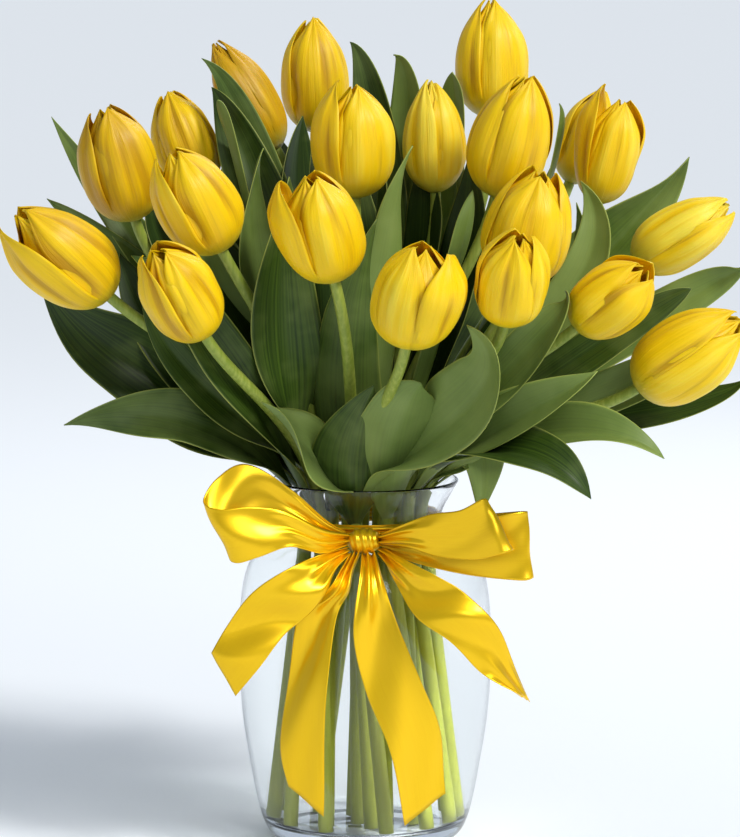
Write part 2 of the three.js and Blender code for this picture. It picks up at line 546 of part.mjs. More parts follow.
// A bloom on top of its stem, as one closed skin.
function bloom(tulip) {
  const points = [];
  const corners = [];
  const add = (p) => points.push(p) - 1;
  const quad = (a, b, c, d) => corners.push(a, b, c, a, c, d);
  const rim = CUP_ROWS.at(-1);
  // A ring of points for a whorl's petals at the height t, one petal after the other.
  const ring = (whorl, t, lift) => {
    const at = (n, i) => petalPoint(tulip, whorl, n, (2 * i) / whorl.across - 1, rim, lift);
    const all = [0, 1, 2].flatMap((n) => Array.from({ length: whorl.across }, (_, i) => at(n, i)));
    const size = bloomRadius(tulip, t) / bloomRadius(tulip, rim);
    return all.map((p) => add(new THREE.Vector3(p.x * size, p.y * size, tulip.length * t)));
  };
  // Joins a ring to a smaller one inside it or above it, which has as many points or half as many.
  const join = (wide, narrow) => {
    const each = wide.length / narrow.length;
    narrow.forEach((c, j) => {
      for (let i = each * j; i < each * (j + 1); i++) corners.push(wide[i], wide[(i + 1) % wide.length], c);
      corners.push(wide[(each * (j + 1)) % wide.length], narrow[(j + 1) % narrow.length], c);
    });
  };
  const fan = (around) => {
    for (let i = 1; i + 1 < around.length; i++) corners.push(around[0], around[i], around[i + 1]);
  };
  // One petal, whose two faces stand on the rings outside and inside.
  const petal = (whorl, n, outside, inside) => {
    const { across, rows } = whorl;
    const foot = (around) => {
      return Array.from({ length: across + 1 }, (_, i) => around[(n * across + i) % around.length]);
    };
    let [front, back] = [foot(outside), foot(inside)];
    const sides = [[front[0], back[0]], [back[across], front[across]]];
    rows.forEach((t, row) => {
      const at = (i, lift) => add(petalPoint(tulip, whorl, n, (2 * i) / across - 1, t, lift));
      const edges = [at(0, 0), at(across, 0)];
      const line = (lift) =>
        Array.from({ length: across + 1 }, (_, i) => (i % across === 0 ? edges[i / across] : at(i, lift)));
      const [nextFront, nextBack] = [line(PETAL_THICK / 2), line(-PETAL_THICK / 2)];
      for (let i = 0; i < across; i++) {
        quad(front[i], front[i + 1], nextFront[i + 1], nextFront[i]);
        quad(back[i], nextBack[i], nextBack[i + 1], back[i + 1]);
      }
      if (row === 0) {
        corners.push(sides[0][0], edges[0], sides[0][1], sides[1][0], edges[1], sides[1][1]);
      }
      [front, back] = [nextFront, nextBack];
    });
    const tip = add(petalPoint(tulip, whorl, n, 0, 1, 0));
    for (let i = 0; i < across; i++) corners.push(front[i], front[i + 1], tip, back[i + 1], back[i], tip);
  };
  const cup = CUP_ROWS.map((t) => ring(OUTER, t, PETAL_THICK / 2));
  fan(cup[0].toReversed());
  join(cup[0], cup[1]);
  join(cup[1], cup[2]);
  const walls = [OUTER, INNER].map((whorl) => {
    const outside = whorl === OUTER ? cup[2] : ring(whorl, rim, PETAL_THICK / 2);
    return { whorl, outside, inside: ring(whorl, rim, -PETAL_THICK / 2) };
  });
  walls.forEach(({ whorl, outside, inside }) => {
    for (let n = 0; n < 3; n++) petal(whorl, n, outside, inside);
  });
  // The floor's two rings start half a petal apart.
  const inner = walls[1].outside;
  const late = INNER.across / 2;
  join(walls[0].inside, inner.map((_, j) => inner[(j - late + inner.length) % inner.length]));
  fan(walls[1].inside);
  const axis = vector(tulip.axis).normalize();
  const side = cross(new THREE.Vector3(0, 1, 0), axis);
  const place = new THREE.Matrix4()
    .makeBasis(side, cross(axis, side), axis)
    .setPosition(shift(vector(tulip.seat), [axis, SEAT_GAP]));
  return geometryFrom(points, corners).applyMatrix4(place);
}

// A strip of ribbon between two edges that run smoothly through the pairs of points.
function strip(pairs) {
  const edges = [0, 1].map(
    (e) => new THREE.CatmullRomCurve3(pairs.map((pair) => vector(pair[e])), false, "catmullrom", 0.5),
  );
  const steps = (pairs.length - 1) * RIBBON_STEPS;
  const rings = [];
  for (let i = 0; i <= steps; i++) {
    const [a, b] = edges.map((edge) => edge.getPoint(i / steps));
    const along = shift(edges[0].getTangent(i / steps), [edges[1].getTangent(i / steps), 1]).normalize();
    const off = cross(along, b.clone().sub(a)).multiplyScalar(RIBBON_THICK / 2);
    rings.push([a.clone().sub(off), b.clone().sub(off), b.clone().add(off), a.clone().add(off)]);
  }
  return skin(rings);
}

function knot() {
  const { at, half, sides, narrow } = KNOT;
  const rings = KNOT_ROWS.map((x) => {
    const swell = 1 - narrow * x * x;
    return Array.from({ length: sides }, (_, i) => {
      const a = (2 * Math.PI * (i + 0.5)) / sides;
      const offset = [half[0] * x, half[1] * swell * Math.cos(a), half[2] * swell * Math.sin(a)];
      return vector(at).add(vector(offset));
    });
  });
  return skin(rings);
}

// The gathered ribbon round the neck, which follows the glass.
function band() {
  const between = VASE_OUTLINE.map((point) => point[1]).filter((z) => z > BAND.low && z < BAND.high);
  const heights = [BAND.low, ...between, BAND.high];
  const inside = heights.map((z) => new THREE.Vector2(vaseRadius(z) + SEAT_GAP, z));
  const outside = inside.map((p) => new THREE.Vector2(p.x + BAND.thick, p.y));
  return turned([...outside, ...inside.reverse(), outside[0]]);
}

const bunch = new THREE.Group();
function show(name, geometry, finish) {
  const material = new THREE.MeshStandardMaterial({ name: finish, ...COLOURS[finish] });
  const mesh = new THREE.Mesh(geometry, material);
  mesh.name = name;
  bunch.add(mesh);
}

const blooms = TULIPS.map(bloom);
const stems = new Map(TULIPS.map((tulip) => [tulip.id, solid(stem(tulip))]));
const strips = Object.entries(RIBBONS).map(([name, pairs]) => [name, strip(pairs)]);
const fixed = [vase(), band(), knot(), ...strips.map(([, geometry]) => geometry), ...blooms];
growLeaves(stems, [
  ...fixed.map((geometry) => ({ owner: null, body: solid(geometry) })),
  ...TULIPS.map(({ id }) => ({ owner: id, body: stems.get(id), isStem: true })),
]);

show("vase", vase(), "glass");
const holes = TULIPS.map((tulip) => solid(stem(tulip, HOLE_GAP, HOLE_DEPTH)));
show("water", geometryOf(waterBody(holes)), "water");
TULIPS.forEach(({ id }, k) => {
  show("leafy_stem_" + id, geometryOf(stems.get(id)), "leaf");
  show("bloom_" + id, blooms[k], "petal");
});
show("ribbon_band", band(), "ribbon");
show("bow_knot", knot(), "ribbon");
strips.forEach(([name, geometry]) => show(name, geometry, "ribbon"));

export default bunch;
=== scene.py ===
"""A bunch of yellow tulips in a clear glass vase of water, with a satin bow round the neck.

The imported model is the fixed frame. Each class builds one sub-assembly round it and dresses it.
Tables and sizes are in millimetres, and the finished meshes in metres. The front faces -Y, +Z is up.
"""

import logging
import math
from dataclasses import dataclass, field
from enum import Enum
from typing import Any, ClassVar, Sequence

import bpy
import numpy as np
from mathutils import Matrix, Quaternion, Vector


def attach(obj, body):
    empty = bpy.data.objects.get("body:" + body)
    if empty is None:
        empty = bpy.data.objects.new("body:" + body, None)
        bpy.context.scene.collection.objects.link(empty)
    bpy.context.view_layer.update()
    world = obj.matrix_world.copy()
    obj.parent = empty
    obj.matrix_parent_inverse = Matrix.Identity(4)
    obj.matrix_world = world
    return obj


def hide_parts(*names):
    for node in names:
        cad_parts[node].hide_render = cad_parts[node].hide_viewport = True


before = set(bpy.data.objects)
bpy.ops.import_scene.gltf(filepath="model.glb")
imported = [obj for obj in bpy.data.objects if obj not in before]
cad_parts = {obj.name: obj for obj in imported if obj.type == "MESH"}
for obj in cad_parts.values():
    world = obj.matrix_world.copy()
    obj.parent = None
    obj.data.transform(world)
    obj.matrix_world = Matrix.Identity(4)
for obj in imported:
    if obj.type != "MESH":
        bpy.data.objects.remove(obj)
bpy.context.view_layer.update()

LOG = logging.getLogger("tulips")
MM = 0.001
UP = Vector((0, 0, 1))
SEAT_GAP = 0.35  # between pieces that rest on each other
UV_HEIGHT = 200  # the height that a turned piece's UV map counts as one
BODY = "root"

Points = np.ndarray  # an array of points, rows x columns x 3, in millimetres
Span = tuple[float, float, float]  # the values where a colour begins and is at its fullest, and how full
Profile = tuple[tuple[float, float], ...]  # points of an outline, in millimetres
Sizes = ClassVar[dict[str | int, Any]]  # values of a geometry tree's or a node's inputs


def smooth(x: Any) -> Any:
    """Eases a share, or an array of shares, from 0 to 1."""
    t = np.clip(x, 0.0, 1.0)
    return t * t * (3 - 2 * t)


def sway(k: float) -> float:
    """Gives an even, repeatable value from -1 to 1 for item k."""
    return math.sin(k * 12.9898 + 4.1)


def share(k: float) -> float:
    """Gives an even, repeatable value from 0 to 1 for item k."""
    return 0.5 + 0.5 * sway(k)


def lerp(a: Any, b: Any, t: Any) -> Any:
    """Mixes a and b by the share t."""
    return a + (b - a) * t


def smooth_line(points: np.ndarray, steps: int) -> np.ndarray:
    """Runs a smooth curve through points.

    Args:
        points: The points, one a row.
        steps: How many steps there are between two.

    Returns:
        The curve's points, with the first and last as given.
    """
    ends = [2 * points[0] - points[1], *points, 2 * points[-1] - points[-2]]
    out = []
    for i in range(len(points) - 1):
        a, b, c, d = ends[i : i + 4]
        for t in np.arange(steps) / steps:
            slope_b, slope_c = (c - a) / 2, (d - b) / 2
            out.append(
                (2 * t**3 - 3 * t**2 + 1) * b
                + (t**3 - 2 * t**2 + t) * slope_b
                + (3 * t**2 - 2 * t**3) * c
                + (t**3 - t**2) * slope_c
            )
    return np.array([*out, points[-1]])


def linear(code: int) -> tuple[float, float, float, float]:
    """Turns an sRGB hex colour into linear light.

    Args:
        code: The colour as 0xRRGGBB.

    Returns:
        Red, green, blue and an alpha of 1.
    """
    parts = [((code >> place) & 255) / 255 for place in (16, 8, 0)]
    lit = [c / 12.92 if c <= 0.04045 else ((c + 0.055) / 1.055) ** 2.4 for c in parts]
    return (*lit, 1.0)


def add_node(
    tree: bpy.types.NodeTree,
    kind: str,
    settings: dict[str | int, Any] | None = None,
    links: dict[str | int, Any] | None = None,
) -> bpy.types.Node:
    """Adds a node to a tree.

    Args:
        tree: The shader or geometry tree.
        kind: The node's type name.
        settings: Values of its properties, or of its inputs by name or number.
        links: What feeds its inputs, by the input's name or number: a socket, or a node for its result.

    Returns:
        The new node.
    """
    node = tree.nodes.new(kind)
    for key, value in (settings or {}).items():
        if isinstance(key, str) and hasattr(node, key):
            setattr(node, key, value)
        else:
            node.inputs[key].default_value = value
    for key, source in (links or {}).items():
        if isinstance(source, bpy.types.Node):
            source = source.outputs[Mix.OUT if source.bl_idname == Mix.KIND else 0]
        tree.links.new(source, node.inputs[key])
    return node


class Mix:
    """The type name of a Mix node, and its socket numbers where it mixes colours."""

    KIND = "ShaderNodeMix"
    A = 6
    B = 7
    OUT = 2


class Slot(Enum):
    """Names of the material slots."""

    GLASS = "vase_glass"
    WATER = "water"
    GREEN = "stems_and_leaves"
    PETALS = "petals"
    SATIN = "satin_ribbon"


def new_object(name: str, data: Any) -> bpy.types.Object:
    """Makes an object at the origin and puts it in the scene."""
    made = bpy.data.objects.new(name, data)
    bpy.context.scene.collection.objects.link(made)
    return made


# Finishes


def new_material(name: str) -> tuple[bpy.types.Material, bpy.types.NodeTree]:
    """Makes a material with an empty node tree.

    Args:
        name: The material's name.

    Returns:
        The material and its tree.
    """
    material = bpy.data.materials.new(name)
    material.use_nodes = True
    material.node_tree.nodes.clear()
    return material, material.node_tree


def streaks(
    tree: bpy.types.NodeTree,
    place: bpy.types.NodeSocket,
    density: tuple[float, float, float],
    detail: float,
    roughness: float = 0.5,
) -> bpy.types.Node:
    """Draws a noise out into streaks.

    Args:
        tree: The material's tree.
        place: The coordinates that it reads.
        density: How many streaks there are to one unit of each coordinate.
        detail: How many finer layers the noise has.
        roughness: How strong those are.

    Returns:
        The noise.
    """
    drawn = add_node(tree, "ShaderNodeMapping", {"Scale": density}, {"Vector": place})
    look = {"Scale": 1.0, "Detail": detail, "Roughness": roughness}
    return add_node(tree, "ShaderNodeTexNoise", look, {"Vector": drawn})


def tinted(
    tree: bpy.types.NodeTree,
    value: Any,
    span: Span | None,
    under: Any,
    over: int,
) -> bpy.types.Node:
    """Lays one colour over another.

    Args:
        tree: The material's tree.
        value: The node or socket that says where.
        span: The span over which the upper colour comes in, or None where the value says how full it is.
        under: The lower colour, as sRGB hex or as the node that gives it.
        over: The upper colour, as sRGB hex.

    Returns:
        The node that gives the mixed colour.
    """
    if span:
        ends = dict(zip(("From Min", "From Max", "To Max"), span))
        value = add_node(tree, "ShaderNodeMapRange", ends, {"Value": value})
    colours = {"data_type": "RGBA", Mix.B: linear(over)}
    if isinstance(under, int):
        return add_node(tree, Mix.KIND, {**colours, Mix.A: linear(under)}, {0: value})
    return add_node(tree, Mix.KIND, colours, {0: value, Mix.A: under})


def surfaced(
    tree: bpy.types.NodeTree,
    look: dict[str, Any],
    links: dict[str, Any],
    height: bpy.types.Node,
    relief: tuple[float, float],
) -> bpy.types.Node:
    """Adds a surface with a relief.

    Args:
        tree: The material's tree.
        look: The surface's values.
        links: What feeds the others.
        height: The node that gives the relief's height.
        relief: The relief's strength, and its depth in millimetres.

    Returns:
        The surface's shader.
    """
    strength, depth = relief
    carved = {"Strength": strength, "Distance": depth * MM}
    bump = add_node(tree, "ShaderNodeBump", carved, {"Height": height})
    return add_node(tree, "ShaderNodeBsdfPrincipled", look, {**links, "Normal": bump})


@dataclass(frozen=True)
class PetalFinish:
    """Fresh tulip petal: thin, waxy and finely ribbed, so light glows through it and streaks along it."""

    name: str = "tulip_petal_fresh"
    body: int = 0xF5C80A
    pale: int = 0xFFEB58
    deep: int = 0xB5850C
    foot: int = 0xB4B23A
    ribs: float = 46.0  # ribs across a petal, about 1 mm apart
    rib_depth: float = 0.5  # mm
    lit: Span = (0.1, 1.1, 0.7)  # of the tone, where painted highlight makes the petal pale
    folded: Span = (-0.25, -1.2, 0.75)  # of the tone, where painted shade makes it deep
    footed: Span = (0.17, 0.0, 0.75)  # of the petal's length
    roughness: float = 0.38

    def build(self) -> bpy.types.Material:
        """Builds the material on the petal's own UV map, across and along, and its tone, which paints its
        light and shade.
        """
        material, tree = new_material(self.name)
        place = add_node(tree, "ShaderNodeTexCoord").outputs["UV"]
        along = add_node(tree, "ShaderNodeSeparateXYZ", links={0: place}).outputs["Y"]
        tone = add_node(tree, "ShaderNodeAttribute", {"attribute_name": "tone"}).outputs["Fac"]
        ribs = streaks(tree, place, (self.ribs, 2.2, 1.0), 3.0, 0.55)
        levelled = {"operation": "MULTIPLY_ADD", 1: 1.0, 2: -0.5}
        ribbed = add_node(tree, "ShaderNodeMath", levelled, {0: ribs})
        shade = add_node(tree, "ShaderNodeMath", {"operation": "ADD"}, {0: tone, 1: ribbed})
        # The tone paints highlight, which turns the yellow pale, and shade, which turns it deep.
        pale = tinted(tree, shade, self.lit, self.body, self.pale)
        deep = tinted(tree, shade, self.folded, pale, self.deep)
        colour = tinted(tree, along, self.footed, deep, self.foot)
        look = {
            "Roughness": self.roughness,
            "IOR": 1.36,
            "Subsurface Weight": 0.22,
            "Subsurface Radius": (1.0, 0.6, 0.05),
            "Subsurface Scale": 1.6 * MM,
        }
        surface = surfaced(tree, look, {"Base Color": colour}, ribs, (0.7, self.rib_depth))
        add_node(tree, "ShaderNodeOutputMaterial", links={"Surface": surface})
        return material


@dataclass(frozen=True)
class LeafFinish:
    """Tulip leaf: thick and smooth under a grey bloom of wax, with fine veins from root to tip."""

    name: str = "tulip_leaf_waxy"
    body: int = 0x5C7824
    deep: int = 0x22360B
    wax: int = 0x93A55E
    rim: int = 0xB4BC5A
    veins: float = 30.0  # veins across a leaf, a little over 1 mm apart
    vein_depth: float = 0.15  # mm
    vein_tone: float = 0.38  # how much a leaf's tone, partly painted light and shade, counts beside its veins
    wax_tone: float = 0.3  # and beside the clouds of its wax
    veined: Span = (0.12, 0.92, 1.0)
    waxed: Span = (0.3, 0.8, 0.6)
    rimmed: Span = (0.475, 0.5, 0.6)  # of the way out from the midrib, in widths
    roughness: float = 0.46

    def build(self) -> bpy.types.Material:
        """Builds the material on the leaf's own UV map, across and along, its tone, which partly paints light
        and shade, and Object coordinates.
        """
        material, tree = new_material(self.name)
        places = add_node(tree, "ShaderNodeTexCoord").outputs
        across = add_node(tree, "ShaderNodeSeparateXYZ", links={0: places["UV"]}).outputs["X"]
        tone = add_node(tree, "ShaderNodeAttribute", {"attribute_name": "tone"}).outputs["Fac"]
        veins = streaks(tree, places["UV"], (self.veins, 1.4, 1.0), 2.5)
        patchy = {"Scale": 28.0, "Detail": 3.0}
        clouds = add_node(tree, "ShaderNodeTexNoise", patchy, {"Vector": places["Object"]})
        # A leaf's tone, partly painted light and shade: darker green where it is low, lighter and greyer with
        # wax where high.
        scaled = {"operation": "MULTIPLY_ADD", 1: self.vein_tone}
        toned = add_node(tree, "ShaderNodeMath", scaled, {0: tone, 2: veins})
        green = tinted(tree, toned, self.veined, self.deep, self.body)
        scaled = {"operation": "MULTIPLY_ADD", 1: self.wax_tone}
        cloudy = add_node(tree, "ShaderNodeMath", scaled, {0: tone, 2: clouds})
        dusted = tinted(tree, cloudy, self.waxed, green, self.wax)
        centred = add_node(tree, "ShaderNodeMath", {"operation": "SUBTRACT", 1: 0.5}, {0: across})
        outwards = add_node(tree, "ShaderNodeMath", {"operation": "ABSOLUTE"}, {0: centred})
        colour = tinted(tree, outwards, self.rimmed, dusted, self.rim)
        look = {"Roughness": self.roughness, "IOR": 1.36}
        surface = surfaced(tree, look, {"Base Color": colour}, veins, (0.5, self.vein_depth))
        add_node(tree, "ShaderNodeOutputMaterial", links={"Surface": surface})
        return material


@dataclass(frozen=True)
class StemFinish:
    """Tulip stem: juicy and smooth, pale green with lighter lines along it, and painted light that turns it
    paler and yellower low in the vase.
    """

    name: str = "tulip_stem_juicy"
    body: int = 0x8A9C3A
    light: int = 0xAEB854
    deep: int = 0x6C7F2C
    painted_light_low: int = 0xBCC044
    lined: Span = (0.4, 0.7, 0.8)
    patched: Span = (0.45, 0.7, 0.35)
    painted_light_span: Span = (0.175, 0.1, 0.55)  # of the height in metres, from about the neck of the vase down, where painted light turns the stem paler and yellower
    roughness: float = 0.4

    def build(self) -> bpy.types.Material:
        """Builds the material on Object coordinates, drawn out along the height."""
        material, tree = new_material(self.name)
        place = add_node(tree, "ShaderNodeTexCoord").outputs["Object"]
        height = add_node(tree, "ShaderNodeSeparateXYZ", links={0: place}).outputs["Z"]
        lines = streaks(tree, place, (600.0, 600.0, 9.0), 2.0)
        patchy = {"Scale": 22.0, "Detail": 2.0}
        patches = add_node(tree, "ShaderNodeTexNoise", patchy, {"Vector": place})
        lighter = tinted(tree, lines, self.lined, self.body, self.light)
        aged = tinted(tree, patches, self.patched, lighter, self.deep)
        # Painted light: below about the neck of the vase the stem turns paler and yellower.
        colour = tinted(tree, height, self.painted_light_span, aged, self.painted_light_low)
        look = {"Roughness": self.roughness, "IOR": 1.42}
        surface = surfaced(tree, look, {"Base Color": colour}, lines, (0.12, 0.1))
        add_node(tree, "ShaderNodeOutputMaterial", links={"Surface": surface})
        return material


@dataclass(frozen=True)
class AntherFinish:
    """Pollen on an anther: matt, dusty yellow-brown grains."""

    name: str = "tulip_pollen_dusty"
    body: int = 0xB98A1C
    dark: int = 0x6E5A16
    grain: float = 900.0  # clumps a metre, about 1 mm each

    def build(self) -> bpy.types.Material:
        """Builds the material on Object coordinates."""
        material, tree = new_material(self.name)
        place = add_node(tree, "ShaderNodeTexCoord").outputs["Object"]
        fine = {"Scale": self.grain, "Detail": 2.0}
        grains = add_node(tree, "ShaderNodeTexNoise", fine, {"Vector": place})
        colour = tinted(tree, grains, None, self.dark, self.body)
        look = {"Roughness": 0.85}
        surface = surfaced(tree, look, {"Base Color": colour}, grains, (0.5, 0.2))
        add_node(tree, "ShaderNodeOutputMaterial", links={"Surface": surface})
        return material


@dataclass(frozen=True)
class ClearFinish:
    """A clear, smooth body, seen through. Lamps shine through it, so it throws no solid shadow."""

    name: str
    tint: int
    ior: float
    ripple: float  # mm, the depth of the slow unevenness that bends reflections
    ripple_scale: float  # waves a metre
    dimming: float  # how strongly depth takes light away, per metre
    shade: int = 0x8E9AB4  # the colour that depth turns it to
    rim: int = 0xFFFFFF  # a painted darker tint where one looks along the surface, a painted grey edge
    grazed: Span = (0.72, 0.97, 1.0)  # of how far the surface is turned away from the eye

    def build(self) -> bpy.types.Material:
        """Builds the material on Object coordinates."""
        material, tree = new_material(self.name)
        place = add_node(tree, "ShaderNodeTexCoord").outputs["Object"]
        slow = {"Scale": self.ripple_scale, "Detail": 1.0}
        waves = add_node(tree, "ShaderNodeTexNoise", slow, {"Vector": place})
        links = {}
        if self.rim != 0xFFFFFF:
            # Painted grey edge: the glass turns darker where one looks along its surface.
            facing = add_node(tree, "ShaderNodeLayerWeight", {"Blend": 0.5}).outputs["Facing"]
            links["Base Color"] = tinted(tree, facing, self.grazed, self.tint, self.rim)
        look = {
            "Base Color": linear(self.tint),
            "Roughness": 0.0,
            "IOR": self.ior,
            "Transmission Weight": 1.0,
        }
        body = surfaced(tree, look, links, waves, (0.4, self.ripple))
        open_way = add_node(tree, "ShaderNodeBsdfTransparent", {"Color": linear(self.tint)})
        shadow = add_node(tree, "ShaderNodeLightPath").outputs["Is Shadow Ray"]
        both = add_node(tree, "ShaderNodeMixShader", links={0: shadow, 1: body, 2: open_way})
        end = add_node(tree, "ShaderNodeOutputMaterial", links={"Surface": both})
        if self.dimming:
            thick = {"Color": linear(self.shade), "Density": self.dimming}
            depth = add_node(tree, "ShaderNodeVolumeAbsorption", thick)
            tree.links.new(depth.outputs[0], end.inputs["Volume"])
        return material


# Soda-lime glass, blown and fire-polished: clean reflections and a painted grey edge, where one looks along
# the wall.
# Its IOR is taken down from 1.52, because the photograph's thin wall hardly bends what stands behind it.
GLASS = ClearFinish("soda_lime_glass_polished", 0xFCFDFD, 1.37, 0.05, 18.0, 8.0, rim=0x6C7288)
# Still tap water. Its IOR is taken down from 1.33: the photograph shows the stems as wide as they are.
WATER = ClearFinish("still_tap_water", 0xFDFEFD, 1.07, 0.02, 12.0, 0.0)


@dataclass(frozen=True)
class SatinFinish:
    """Polyester satin ribbon: long floats of warp catch the light in one bright streak across them."""

    name: str = "polyester_satin_woven"
    body: int = 0xF4BE00
    bright: int = 0xFFD30A
    threads: float = 110.0  # a real ribbon has about ten a mm, drawn coarser here so that they show
    thread_depth: float = 0.015  # mm
    roughness: float = 0.3

    def build(self) -> bpy.types.Material:
        """Builds the material on the ribbon's own UV map, across and along."""
        material, tree = new_material(self.name)
        place = add_node(tree, "ShaderNodeTexCoord").outputs["UV"]
        threads = streaks(tree, place, (self.threads, 6.0, 1.0), 2.0)
        colour = tinted(tree, threads, None, self.body, self.bright)
        tangent = add_node(tree, "ShaderNodeTangent", {"direction_type": "UV_MAP"})
        look = {
            "Roughness": self.roughness,
            "Metallic": 0.68,
            "IOR": 1.5,
            "Coat Weight": 0.2,
            "Coat Roughness": 0.24,
            "Anisotropic": 0.6,
            "Anisotropic Rotation": 0.25,
        }
        links = {"Base Color": colour, "Tangent": tangent}
        surface = surfaced(tree, look, links, threads, (0.3, self.thread_depth))
        add_node(tree, "ShaderNodeOutputMaterial", links={"Surface": surface})
        return material


@dataclass(frozen=True)
class FloorFinish:
    """Matt painted floor: an even, pale surface with a faint tooth."""

    name: str = "matt_floor_paint"
    body: int = 0xF4F8FF

    def build(self) -> bpy.types.Material:
        """Builds the material on Object coordinates."""
        material, tree = new_material(self.name)
        place = add_node(tree, "ShaderNodeTexCoord").outputs["Object"]
        fine = {"Scale": 400.0, "Detail": 2.0}
        tooth = add_node(tree, "ShaderNodeTexNoise", fine, {"Vector": place})
        look = {"Base Color": linear(self.body), "Roughness": 0.9}
        surface = surfaced(tree, look, {}, tooth, (0.1, 0.1))
        add_node(tree, "ShaderNodeOutputMaterial", links={"Surface": surface})
        return material


# Meshes


@dataclass
class Draft:
    """The points, faces and UVs of one mesh while it is made, with a material number for each face."""

    points: list[Sequence[float]] = field(default_factory=list)
    faces: list[Sequence[int]] = field(default_factory=list)
    uvs: list[tuple[float, float]] = field(default_factory=list)
    slots: list[int] = field(default_factory=list)
    tones: list[float] = field(default_factory=list)

    def add(self, points: Any, faces: Any, uvs: Any, slot: int = 0, tones: Any = None) -> None:
        """Adds a set of points with their faces.

        Args:
            points: Points in millimetres.
            faces: Corner numbers of each face, counted from the first of these points.
            uvs: The UV place of each point.
            slot: The material's number.
            tones: How light (1) or dark (-1) the surface is at each point, or None where it is even.
        """
        first = len(self.points)
        self.points.extend(points)
        self.uvs.extend(uvs)
        self.tones.extend([0.0] * len(points) if tones is None else tones)
        self.faces.extend([corner + first for corner in face] for face in faces)
        self.slots.extend([slot] * len(faces))

    def blade(self, middle: Points, half: np.ndarray, slot: int = 0, tone: Any = 0.0) -> None:
        """Adds a thin closed sheet round a grid of middle points.

        Args:
            middle: The grid, rows along the sheet and columns across it.
            half: Half the thickness at each point of the grid, in millimetres.
            slot: The material's number.
            tone: How light (1) or dark (-1) the surface is, at each point of the grid or all over.
        """
        rows, columns, _ = middle.shape
        normals = np.cross(np.gradient(middle, axis=1), np.gradient(middle, axis=0))
        size = np.linalg.norm(normals, axis=2, keepdims=True)
        normals = normals / np.maximum(size, 1e-9) * half[..., None]
        points = np.concatenate([middle + normals, middle - normals]).reshape(-1, 3)
        upper = np.arange(rows * columns).reshape(rows, columns)
        lower = upper + rows * columns
        quads = [
            (upper[:-1, :-1], upper[:-1, 1:], upper[1:, 1:], upper[1:, :-1]),
            (lower[:-1, :-1], lower[1:, :-1], lower[1:, 1:], lower[:-1, 1:]),
            (upper[:-1, 0], upper[1:, 0], lower[1:, 0], lower[:-1, 0]),
            (upper[1:, -1], upper[:-1, -1], lower[:-1, -1], lower[1:, -1]),
            (upper[0, 1:], upper[0, :-1], lower[0, :-1], lower[0, 1:]),
            (upper[-1, :-1], upper[-1, 1:], lower[-1, 1:], lower[-1, :-1]),
        ]
        faces = np.concatenate([np.stack([q.ravel() for q in quad], axis=1) for quad in quads])
        across, along = np.meshgrid(np.linspace(0, 1, columns), np.linspace(0, 1, rows))
        flat = np.stack([across, along], axis=2).reshape(-1, 2)
        shades = np.tile(np.broadcast_to(tone, (rows, columns)).ravel(), 2).tolist()
        both = np.concatenate([flat, flat]).tolist()
        self.add(points.tolist(), faces.tolist(), both, slot, shades)

    def turned(self, profile: Sequence[Sequence[float]], sides: int, slot: int = 0) -> None:
        """Adds a body turned about the Z axis.

        Args:
            profile: Points as (radius, height), anticlockwise seen from the front with the axis left.
                It starts and ends on the axis.
            sides: How many steps the turn has.
            slot: The material's number.
        """
        angles = np.linspace(0, 2 * math.pi, sides, endpoint=False)
        ring = profile[1:-1]
        points = [(0.0, 0.0, profile[0][1])]
        for r, z in ring:
            points.extend((r * math.cos(a), r * math.sin(a), z) for a in angles)
        points.append((0.0, 0.0, profile[-1][1]))
        last = len(points) - 1
        faces: list[list[int]] = []
        for i in range(sides):
            j = (i + 1) % sides
            faces.append([0, 1 + j, 1 + i])
            for k in range(len(ring) - 1):
                low, high = 1 + k * sides, 1 + (k + 1) * sides
                faces.append([low + i, low + j, high + j, high + i])
            faces.append([last - sides + i, last - sides + j, last])
        uvs = [(math.atan2(y, x) / (2 * math.pi) + 0.5, z / UV_HEIGHT) for x, y, z in points]
        self.add(points, faces, uvs, slot)

    def take(self, mesh: bpy.types.Mesh, place: Matrix, slot: int = 0) -> None:
        """Adds a Blender mesh in metres, moved by place, whose result is in millimetres."""
        points = [place @ (v.co / MM) for v in mesh.vertices]
        faces = [list(p.vertices) for p in mesh.polygons]
        self.add([tuple(p) for p in points], faces, [(0.5, 0.5)] * len(points), slot)
        bpy.data.meshes.remove(mesh)

    def piece(self, name: str, finishes: Sequence[bpy.types.Material]) -> bpy.types.Object:
        """Makes the object.

        Args:
            name: Its name.
            finishes: The materials, in the order of the slots.

        Returns:
            The object, at the origin, shaded smooth.
        """
        mesh = bpy.data.meshes.new(name)
        scaled = (np.array(self.points, dtype=float) * MM).tolist()
        mesh.from_pydata(scaled, [], self.faces)
        uvs = np.array(self.uvs, dtype=np.float32)
        corners = np.fromiter((c for face in self.faces for c in face), dtype=np.int64)
        mesh.uv_layers.new(name="UVMap").data.foreach_set("uv", uvs[corners].ravel())
        for finish in finishes:
            mesh.materials.append(finish)
        mesh.polygons.foreach_set("material_index", self.slots)
        mesh.attributes.new("tone", "FLOAT", "POINT").data.foreach_set("value", self.tones)
        mesh.shade_smooth()
        mesh.update()
        return new_object(name, mesh)


def settle(piece: bpy.types.Object, node: str) -> bpy.types.Object:
    """Puts a piece on the body in place of its CAD node.

    Args:
        piece: The finished piece.
        node: The node that it stands for.

    Returns:
        The piece.
    """
    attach(piece, BODY)
    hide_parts(node)
    LOG.info("%s stands for %s, %d faces", piece.name, node, len(piece.data.polygons))
    return piece


